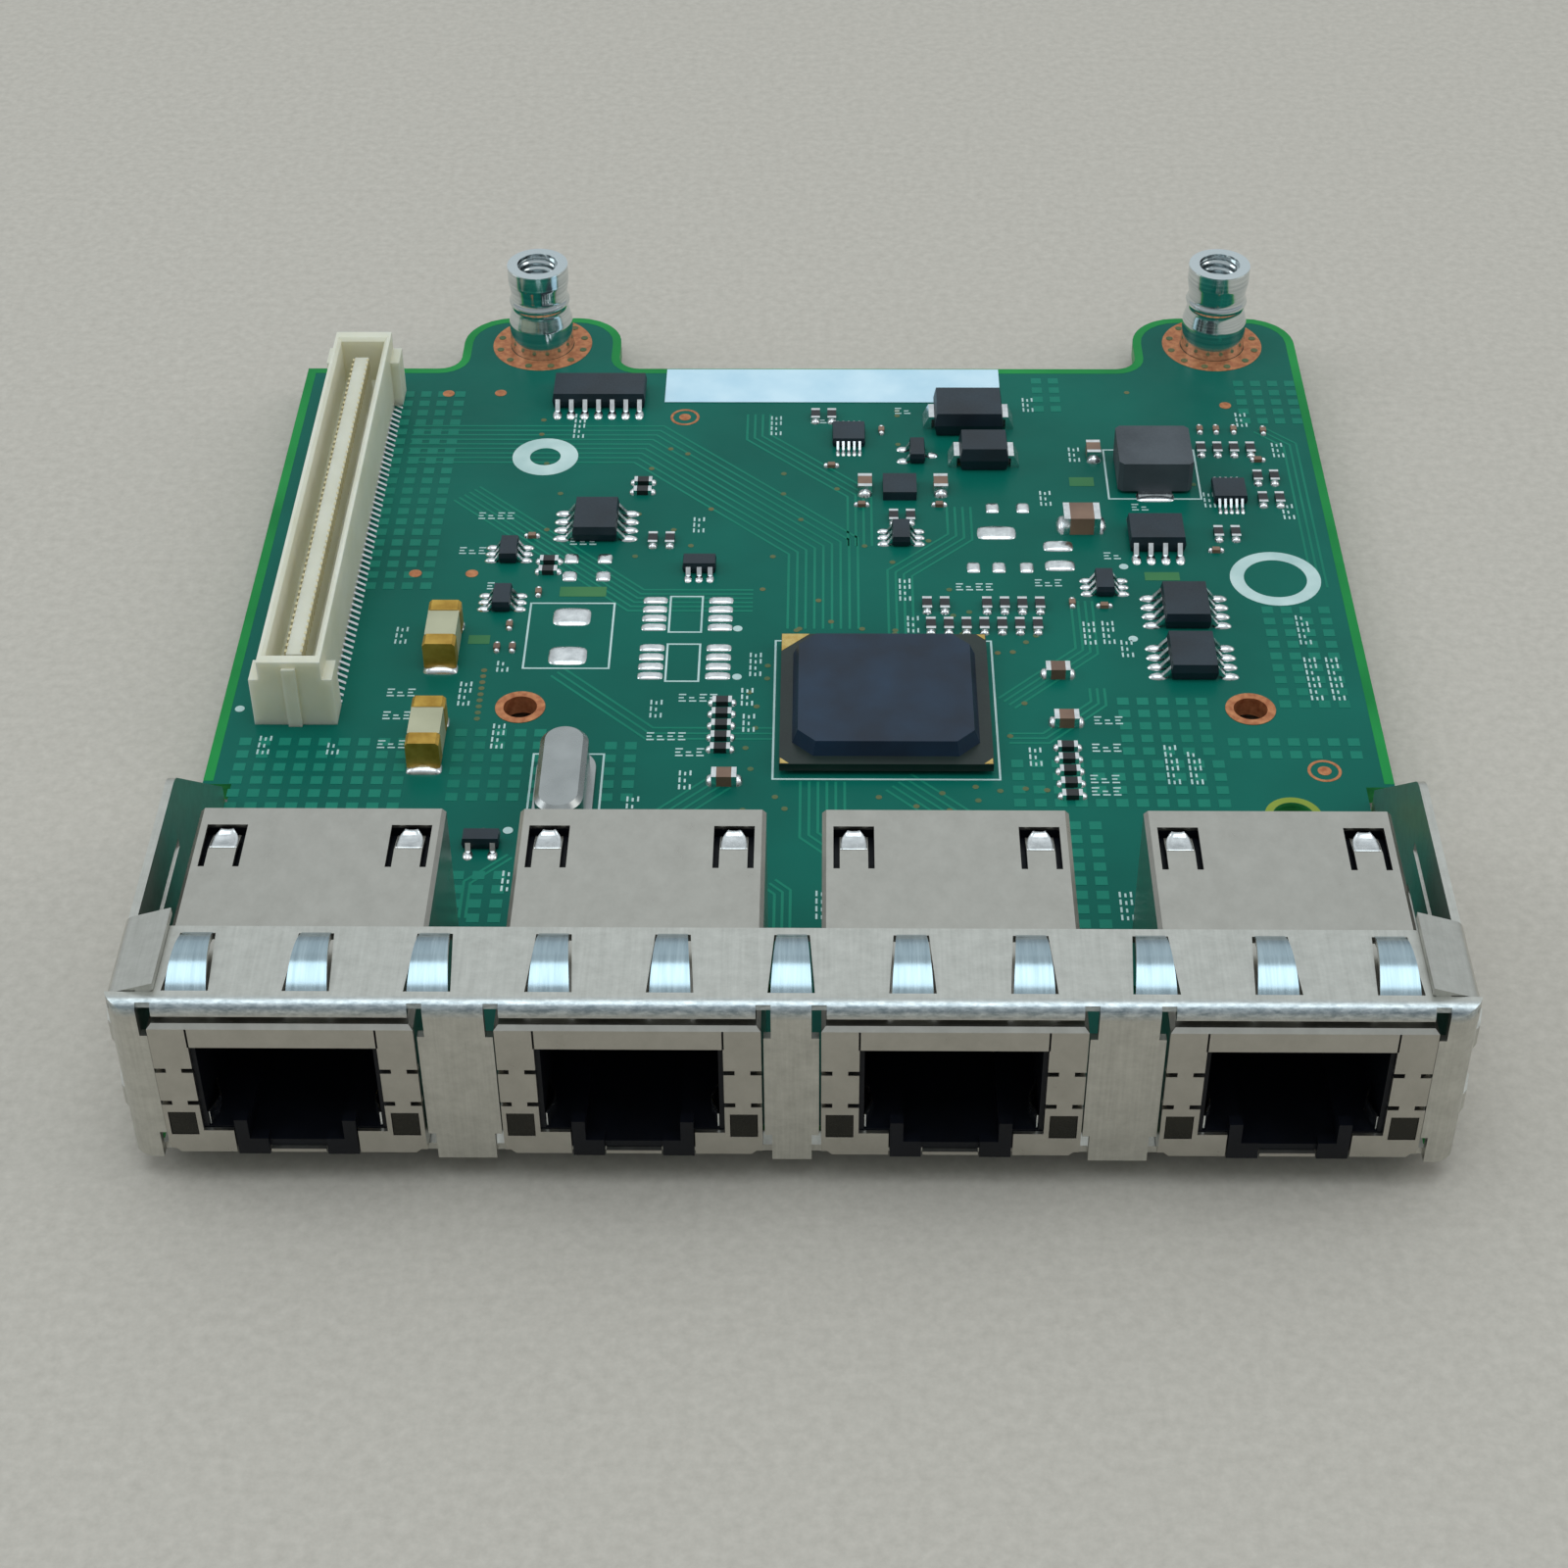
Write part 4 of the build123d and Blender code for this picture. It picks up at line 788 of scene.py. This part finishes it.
def feet(places, rows, pitch, reach, half_x, half_y, height):
    """Domes under the feet of leaded packages: the front and the rear row at minus and plus
    the reach, each place turned by its angle."""
    sides = list(zip(rows, (-1, 1)))
    local = [((i - (n - 1) / 2) * pitch, side * reach) for n, side in sides for i in range(n)]
    made = []
    for u, v, angle in places:
        c, s = np.cos(np.radians(angle)), np.sin(np.radians(angle))
        spots = np.array(local) @ np.array([[c, s], [-s, c]]) + spot(u, v)
        halves = (half_x, half_y) if angle == 0 else (half_y, half_x)
        made.append(copies(*dome(*halves, height, 12, 4), at(*spots)))
    return made


EIGHT_LEAD = [(-0.383, 0.668, 90), (0.694, 0.509, 90), (0.692, 0.42, 90), (0.66, 0.644, 0)]
FOURTEEN_LEAD = [(-0.403, 0.935, 0)]
TEN_LEAD = [(0.091, 0.848, 0), (0.811, 0.732, 0)]
SIX_LEAD = [
    (-0.539, 0.524, 90), (-0.539, 0.614, 90), (0.554, 0.554, 90), (-0.185, 0.588, 0), (0.187, 0.647, 90),
]
THREE_LEAD = [(-0.516, 0.126, 0), (0.223, 0.812, -90)]
# After the leads in each row: pitch, reach, the dome's two half widths and its height.
shapes += feet(EIGHT_LEAD, (4, 4), LEAD_PITCH, 2.95, 0.44, 0.8, 0.3)
shapes += feet(FOURTEEN_LEAD, (7, 7), LEAD_PITCH, 2.95, 0.44, 0.8, 0.3)
shapes += feet(TEN_LEAD, (5, 5), 0.5, 2.45, 0.2, 0.5, 0.18)
shapes += feet(SIX_LEAD, (3, 3), 0.95, 1.5, 0.36, 0.6, 0.24)
shapes += feet(THREE_LEAD, (2, 1), 1.9, 1.3, 0.42, 0.6, 0.24)
print("solder shapes:", len(shapes))


# %% Solder at the ends of chip parts
def chip_ends(places, reach, along, across, height):
    """A dome at minus and plus the reach along each chip part, which lies along X or Y."""
    made = []
    for x, y, turn in places:
        dx, dy = (reach, 0) if turn == 0 else (0, reach)
        halves = (along, across) if turn == 0 else (across, along)
        made.append(copies(*dome(*halves, height, 10, 4), at((x - dx, y - dy), (x + dx, y + dy))))
    return made


CHIP_ROWS = [
    (0.459, 0.239, 5, 0), (-0.132, 0.311, 5, 0), (0.386, 0.519, 4, 90), (0.246, 0.519, 2, 90),
    (0.331, 0.482, 7, 90), (0.82, 0.823, 4, 90), (0.887, 0.765, 2, 90), (0.889, 0.721, 2, 90),
    (0.794, 0.654, 2, 90), (-0.463, 0.59, 2, 0), (-0.259, 0.64, 2, 90), (-0.302, 0.745, 2, 0),
    (0.042, 0.893, 2, 90), (0.19, 0.685, 2, 90),
]
CAPS = [
    (0.454, 0.399, 0), (0.461, 0.318, 0), (-0.123, 0.223, 0), (0.563, 0.814, 90), (0.121, 0.744, 90),
    (0.265, 0.744, 90),
]
LARGE_CAP = (0.524, 0.67)
CHIP_STEP = 1.5
TINY = [
    (7.3, 90.2, 90), (5.4, 78.2, 0), (12.3, 78.2, 0), (2.7, 84.4, 0), (36.6, 90.4, 90), (38.1, 90.4, 90),
    (39.7, 90.4, 90), (42.4, 90.2, 90), (41.4, 85.4, 0), (36.2, 71.3, 0), (25.9, 63.2, 0), (23.2, 63.6, 90),
    (-23.6, 73.3, 0), (-22.4, 65.0, 90), (-24.5, 60.3, 90), (-25.3, 57.2, 90), (-24.0, 57.2, 90),
]
rows = []
for u, v, count, turn in CHIP_ROWS:
    x, y = spot(u, v)
    steps = CHIP_STEP * (np.arange(count) - (count - 1) / 2)
    rows += [(x + s, y, turn) if turn else (x, y + s, turn) for s in steps]
# After the places: reach, half length, half width and height.
shapes += chip_ends(rows, 0.88, 0.34, 0.42, 0.34)
shapes += chip_ends([(*spot(u, v), turn) for u, v, turn in CAPS], 1.1, 0.42, 0.66, 0.55)
shapes += chip_ends([(*spot(*LARGE_CAP), 0)], 1.7, 0.55, 1.25, 0.8)
shapes += chip_ends(TINY, 0.48, 0.28, 0.3, 0.36)
make_piece("solder_joints", *joined(*shapes), tin, "tinned_lead", True)

# %% Tiny chip parts
TINY_L, TINY_W, TINY_H = 0.64, 0.52, 0.35
x, y, turn = np.array(TINY).T
half_x, half_y = np.where(turn == 0, [[TINY_L], [TINY_W]], [[TINY_W], [TINY_L]]) / 2
tiny = blocks(x, y, half_x, half_y, TINY_H)
make_piece("tiny_chip_bodies", *tiny, ceramic_brown, "capacitor_ceramic")

# %% [markdown]
# ## Underside
# The jacks are soldered from below: each has a row of signal pins in two staggered lines,
# four pins for its lights and two shield legs. A joint is a small cone of solder that has
# crept up its pin, so its profile falls steeply at first and then spreads.

# %% Joints below the board
PIN_ROWS = (14.3, 16.84)  # the two staggered lines
LIGHT_ROW = 4.6
joint = turned([(0.85, 0), (0.6, 0.18), (0.42, 0.4), (0.34, 0.7), (0.24, 0.85), (POLE, 0.88)], 14)
pin = np.arange(8)
signals = points_of((pin - 3.5) * LEAD_PITCH, np.where(pin % 2 == 0, *PIN_ROWS), 0)
lights = points_of(np.array((-6.6, -4.1, 4.1, 6.6)), LIGHT_ROW, 0)
pins = copies(*joint, np.concatenate([signals, lights]))
leg = turned([(1.0, 0), (0.7, 0.2), (0.5, 0.5), (0.45, 0.6), (POLE, 0.6)], 16, (0.9, 1.7))
legs = copies(*leg, at((-8.7, 15.8), (8.7, 15.8)))
below = flipped(*copies(*joined(pins, legs), JACKS))
make_piece("underside_joints", *below, tin, "tinned_lead", True)

# %% [markdown]
# ## Springs, contacts and threads
# Inside each mouth two bowed springs press on the plug's screen. The board connector has a
# fine contact every 0.8 mm on both sides of its tongue. The posts are tapped: a thread is a
# cylinder whose radius rises and falls along a helix.

# %% Screen springs in the jack mouths
SPRING_X, SPRING_BOW = 5.86, 0.5  # foot from the jack's middle, and how far it bows in
SPRING_FRONT, SPRING_L, SPRING_T = 0.75, 3.2, 0.12
SPRING_Z = (2.3, 3.5)
t = np.linspace(0, 1, 13)
bow_x = SPRING_X - SPRING_BOW * np.sin(np.pi * t) ** 1.5
bow = np.stack([bow_x, SPRING_FRONT + SPRING_L * t], -1)
right_spring = strip(bow, SPRING_T, *SPRING_Z)
left_spring = strip((bow * (-1, 1))[::-1], SPRING_T, *SPRING_Z)
make_piece("screen_springs", *copies(*joined(right_spring, left_spring), JACKS), tin, "nickel_shield")

# %% Contacts in the board connector
CONTACT_PITCH, CONTACT_COUNT = 0.8, 56
CONTACT_Y = 50.05  # first contact
CONTACT_Z = (4.1, 5.23)
CONNECTOR_X = middle("mezzanine_housing")[0]
TONGUE_HALF = 0.64
CONTACT_HALF, CONTACT_X = 0.17, (-0.16, 0.04)  # half its width, and its sides from the tongue's
y = CONTACT_Y + CONTACT_PITCH * np.arange(CONTACT_COUNT)
x = CONNECTOR_X + TONGUE_HALF * np.array([[-1], [1]])
low = points_of(x + CONTACT_X[0], y - CONTACT_HALF, CONTACT_Z[0])
high = points_of(x + CONTACT_X[1], y + CONTACT_HALF, CONTACT_Z[1])
make_piece("connector_contacts", *boxes(low, high), straw, "gold_contact")


# %% Post threads
def thread(outer, depth, pitch, low, high, segments=32, rows=72, least=0.02):
    """Tapped lining: inner radius = outer - least - depth times half of 1 + cos(2 pi z / pitch - t),
    closed by a plain wall at the outer radius. Least is its thickness at the thread's root."""
    z = np.linspace(high, low, rows)
    angle = np.linspace(0, 2 * np.pi, segments, endpoint=False)
    wave = 0.5 + 0.5 * np.cos(2 * np.pi * z[None] / pitch - angle[:, None])
    wall = np.full((segments, 1), float(outer))
    r = np.hstack([wall, outer - least - depth * wave, wall, wall])
    h = np.concatenate([[high], z, [low], [high]])
    x, y = r * np.cos(angle)[:, None], r * np.sin(angle)[:, None]
    return points_of(x, y, h), ring_quads(segments, r.shape[1])


BORE_R, THREAD_DEPTH, THREAD_PITCH = 1.895, 0.2, 0.7
THREAD_Z = (2.7, 8.4)
lining = copies(*thread(BORE_R, THREAD_DEPTH, THREAD_PITCH, *THREAD_Z), POSTS)
make_piece("post_threads", *lining, post_zinc, "bright_plated_post", True)

# %% Turned post sleeves
# The post's outer wall is turned with a rounded ridge in the middle of its waist.
SLEEVE_Z = (0.06, 8.72)
SLEEVE_R, SLEEVE_GAP = 2.2, 0.015  # hidden inner wall, and rise over the solid's wall
POST_WALL = [(0, 3.0), (2.9, 3.0), (4.9, 2.5), (7.2, 2.85), (8.8, 2.85)]  # height and radius
RIDGE_Z, RIDGE_RISE, RIDGE_SPREAD = 5.0, 0.34, 0.42
z = np.linspace(*SLEEVE_Z, 96)
wall = np.interp(z, *np.transpose(POST_WALL)) + SLEEVE_GAP
wall += RIDGE_RISE * np.exp(-((z - RIDGE_Z) / RIDGE_SPREAD) ** 2)
back = [(SLEEVE_R, SLEEVE_Z[1]), (SLEEVE_R, SLEEVE_Z[0]), (wall[0], SLEEVE_Z[0])]
section = np.vstack([np.column_stack([wall, z]), back])
make_piece("post_sleeves", *copies(*turned(section, 64), POSTS), post_zinc, "bright_plated_post", True)

# %% [markdown]
# ## Sprung sheet
# The bracket's fingers are bowed and polished by every insertion, and each jack's grounding
# tongues turn up at their tips. The solids give them in a few straight steps. A thin smooth
# skin over each, an arc carried across its width, gives the soft gradient of a real bow.

# %% Finger skins
FACE = 0.7  # bracket face from the measuring plane
FINGER_PITCH = 8.05
FINGER_Y = (FACE + 1.55, FACE + 6.95)  # front and tip
FINGER_W = (2.75, 2.0)
FINGER_T = 0.4
SKIN_T, SKIN_RISE = 0.05, 0.012
FINGERS = points_of(np.arange(-5, 6) * FINGER_PITCH, 0, 0)
BOW = np.array([(FINGER_Y[1], 13.5), (FACE + 3.71, 14.3), (FINGER_Y[0], 13.2)])


def circle_through(points):
    """Centre of the circle through three points: equal distances give two linear equations."""
    first, second, third = points
    sides = 2 * np.array([second - first, third - first])
    return np.linalg.solve(sides, [second @ second - first @ first, third @ third - first @ first])


def skin(arc_y, arc_z, half_width, thickness):
    """Sheet carried across a line of (y, z) points: rows at plus and minus the half width, the
    lower side a thickness below along Z, closed all round."""
    rim = np.stack([-half_width, half_width, half_width, -half_width], -1)
    z = arc_z[:, None] - np.array([0, 0, thickness, thickness])
    return points_of(rim, arc_y[:, None], z), bar_quads(len(arc_y))


centre = circle_through(BOW)
radius = np.hypot(*(BOW[0] - centre)) + FINGER_T / 2
swing = np.linspace(np.arctan2(*(BOW[2] - centre)), np.arctan2(*(BOW[0] - centre)), 17)
arc_y = centre[0] + radius * np.sin(swing)
arc_z = np.minimum(centre[1] + radius * np.cos(swing) + SKIN_RISE, CAD_BOX[1][2] / MM - TOP)
taper = np.interp(arc_y, FINGER_Y, FINGER_W) / 2
skins = copies(*skin(arc_y, arc_z, taper, SKIN_T), FINGERS)
make_piece("finger_skins", *skins, finger_steel_painted_reflection, "plated_steel_sheet", True)

# %% Curled tongue tips
# A tip is a small dish: it falls with its tongue, and its rear and sides turn up steeply.
TONGUE_X = 6.6  # from the jack's middle
TIP_FRONT, TIP_L, TIP_T = DATUM + 18.0, 2.05, 0.06
TIP_HALF, TIP_NARROWING = 0.95, 0.55
TIP_SINK, TIP_FALL, SIDE_RISE, REAR_RISE = 0.05, 0.55, 0.3, 0.45
u, t = np.meshgrid(np.linspace(-1, 1, 9), np.linspace(0, 1, 13), indexing="ij")
turned_up = SIDE_RISE * np.abs(u) ** 3 * t * (1 - 0.7 * t) + REAR_RISE * t ** 5
tip_x = u * TIP_HALF * (1 - TIP_NARROWING * t ** 4)
tip_z = JACK_TOP - TIP_SINK - TIP_FALL * t + turned_up
dish = points_of(tip_x, TIP_FRONT + TIP_L * t, tip_z)
pair = copies(dish, grid_quads(*u.shape), at((-TONGUE_X, 0), (TONGUE_X, 0)))
dishes = copies(*pair, JACKS)
tongue_tips = make_piece("tongue_tips", *dishes, tin, "nickel_shield", True)
thickened(tongue_tips, TIP_T)

# %% [markdown]
# ## Rim of the board
# The inner copper stops short of the board's edge, leaving a narrow rim of mask over bare
# laminate. The light that comes through it is painted in as a brighter leaf-green glow. The rim
# is a thin strip along the outline, whose corners are rounded with arcs.

# %% Rim strip
def rounded(corners):
    """Outline with rounded corners: each (x, y, radius) becomes an arc of seven points that
    touches both sides, or stays a point where the radius is 0."""
    line = []
    for k, (x, y, radius) in enumerate(corners):
        here = np.array((x, y), float)
        if radius == 0:
            line.append(here[None])
            continue
        back = np.array(corners[k - 1][:2], float) - here
        on = np.array(corners[k + 1][:2], float) - here
        back /= np.linalg.norm(back)
        on /= np.linalg.norm(on)
        s = np.radians(np.linspace(0, 90, 7))[:, None]
        line.append(here + radius * (back * (1 - np.sin(s)) + on * (1 - np.cos(s))))
    return np.concatenate(line)


RIM, RIM_T = 0.4, 0.012  # half of the strip's width, and its thickness
SIDE, REAR, TAB = BOARD_HALF - RIM, BOARD_REAR - RIM, TAB_REAR - RIM
RIM_FRONT = 39.9
LEFT, RIGHT, NEXT = -32.65 + RIM, -17.55 - RIM, 31.65 + RIM  # sides of the tabs
INNER_R, OUTER_R = 2.4, 4.1
OUTLINE = [
    (-SIDE, RIM_FRONT, 0), (-SIDE, REAR, 0), (LEFT, REAR, INNER_R), (LEFT, TAB, OUTER_R),
    (RIGHT, TAB, OUTER_R), (RIGHT, REAR, INNER_R), (NEXT, REAR, INNER_R), (NEXT, TAB, OUTER_R),
    (SIDE, TAB, OUTER_R), (SIDE, RIM_FRONT, 0),
]
edge = strip(rounded(OUTLINE), 2 * RIM, 0, RIM_T)
make_piece("board_rim", *edge, rim_with_painted_glow, "soldermask_board")

# %% [markdown]
# ## Corner marks of the controller
# The package shows gold triangles at the corners of its laminate: a large one at the first
# pin and small ones at the others. Each is a thin plate with two equal legs.

# %% Gold triangles
MARK_T = 0.02


def triangle(x, y, leg_x, leg_y, z):
    """Thin right-angled plate: its corner, its two legs and the fourth point on the long side."""
    flat = np.array([(x, y), (x + leg_x, y), (x + leg_x / 2, y + leg_y / 2), (x, y + leg_y)])
    flat = flat if leg_x * leg_y > 0 else flat[::-1]
    plate = np.vstack([points_of(*flat.T, h) for h in (z, z + MARK_T)])
    sides = [[k, (k + 1) % 4, (k + 1) % 4 + 4, k + 4] for k in range(4)]
    return plate, np.array([[3, 2, 1, 0], [4, 5, 6, 7]] + sides)


LAMINATE_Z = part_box("controller_substrate")[1][2] / MM - TOP
FIRST_LEG, LEG = 2.3, 0.7
CORNERS = [
    (-1.42, 57.78, FIRST_LEG, -FIRST_LEG), (15.48, 57.74, -LEG, -LEG), (-1.38, 40.88, LEG, LEG),
    (15.48, 40.88, -LEG, LEG),
]
plates = joined(*[triangle(*corner, LAMINATE_Z) for corner in CORNERS])
make_piece("corner_marks", *plates, gold, "gold_contact")

# %% [markdown]
# ## Camera, light and floor
# The camera stands where the photograph was taken: its place, tilt and focal length were
# solved from known sizes on the board. Level metal seen from here mirrors the far side of the
# room, about 40 degrees up, where a broad soft window stands. Bowed and bent metal mirrors what is
# overhead, so a second soft lamp is there, and one lamp at each side lifts the shadows. The
# room is an even grey, lighter above and behind.

# %% Camera
PITCH, YAW, ROLL = np.radians((40.1504, -1.0443, -0.5009))
ahead = np.array([np.sin(YAW) * np.cos(PITCH), np.cos(YAW) * np.cos(PITCH), -np.sin(PITCH)])
right = np.array([np.cos(YAW), -np.sin(YAW), 0])
above = np.cross(right, ahead)
right, above = right * np.cos(ROLL) + above * np.sin(ROLL), above * np.cos(ROLL) - right * np.sin(ROLL)
EYE = np.array([2.164, -136.119, 148.348])  # on the board, in mm
FOCAL_PIXELS, FRAME_PIXELS = 2971.1, 1600
SENSOR = 36  # mm
eye = (EYE + (0, FRONT, TOP)) * MM
turn = np.eye(4)
turn[:3, :3] = np.stack([right, above, -ahead], -1)
turn[:3, 3] = eye
camera = linked("camera", bpy.data.cameras.new("camera"))
camera.data.lens = FOCAL_PIXELS / FRAME_PIXELS * SENSOR
camera.data.sensor_width = SENSOR
camera.data.sensor_fit = "HORIZONTAL"
camera.data.clip_start = 0.01
camera.matrix_world = Matrix(turn.tolist())
bpy.context.scene.camera = camera
print("camera", [round(float(c), 4) for c in eye], "m")

# %% Floor
floor_mesh = bpy.data.meshes.new("floor")
FLOOR = 3  # half of its side, in m
corners = [(-FLOOR, -FLOOR, 0), (FLOOR, -FLOOR, 0), (FLOOR, FLOOR, 0), (-FLOOR, FLOOR, 0)]
floor_mesh.from_pydata(corners, [], [(0, 1, 2, 3)])
floor = linked("floor", floor_mesh)
floor_paper, tree, shader = new_finish("pale_floor_card", Roughness=0.9, IOR=1.4)
fibre = noise(tree, 0.9, 5.0, 0.65)
tree.links.new(ramp_of(tree, fibre, *BAND, "#b5aea4", "#c4bdb3"), shader.inputs["Base Color"])
floor_mesh.materials.append(floor_paper)
print("floor side", 2 * FLOOR, "m")


# %% Lamps
def lamp(name, place, target, size, watts, colour):
    """Square soft lamp that looks from a place to a target."""
    light = bpy.data.lights.new(name, "AREA")
    light.size = size
    light.energy = watts
    light.color = linear(colour)[:3]
    away = np.array(place, float) - target
    away /= np.linalg.norm(away)
    side = np.cross((0.0, 0.01, 1.0), away)
    side /= np.linalg.norm(side)
    pose = np.eye(4)
    pose[:3, :3] = np.stack([side, np.cross(away, side), away], -1)
    pose[:3, 3] = place
    linked(name, light).matrix_world = Matrix(pose.tolist())


lamp("overhead", (0.0, -0.1, 0.85), (0, -0.02, 0), 0.66, 2.3, "#e6f4fb")
lamp("rear_window", (0.0, 0.95, 0.66), (0, 0, 0), 0.75, 0.26, "#eaf5fb")
lamp("left_window", (-0.66, 0.05, 0.42), (0, 0, 0), 0.4, 0.9, "#f4fafd")
lamp("right_window", (0.66, 0.0, 0.42), (0, 0, 0), 0.4, 0.7, "#fdfbf6")
print("lamps:", len(bpy.data.lights))

# %% Room
world = bpy.data.worlds.new("studio")
bpy.context.scene.world = world
world.use_nodes = True
tree = world.node_tree
axis = axes(tree, "Generated")
rise = maths(tree, "MULTIPLY_ADD", axis["Y"], 0.25, axis["Z"])
sky = ramp_of(tree, rise, 0.0, 0.95, "#909699", "#d6dde0")
tree.links.new(sky, tree.nodes["Background"].inputs["Color"])
tree.nodes["Background"].inputs["Strength"].default_value = 1.0
bpy.context.scene.view_settings.view_transform = "Standard"
print("room", world.name)

# %% Sizes
low, high = CAD_BOX
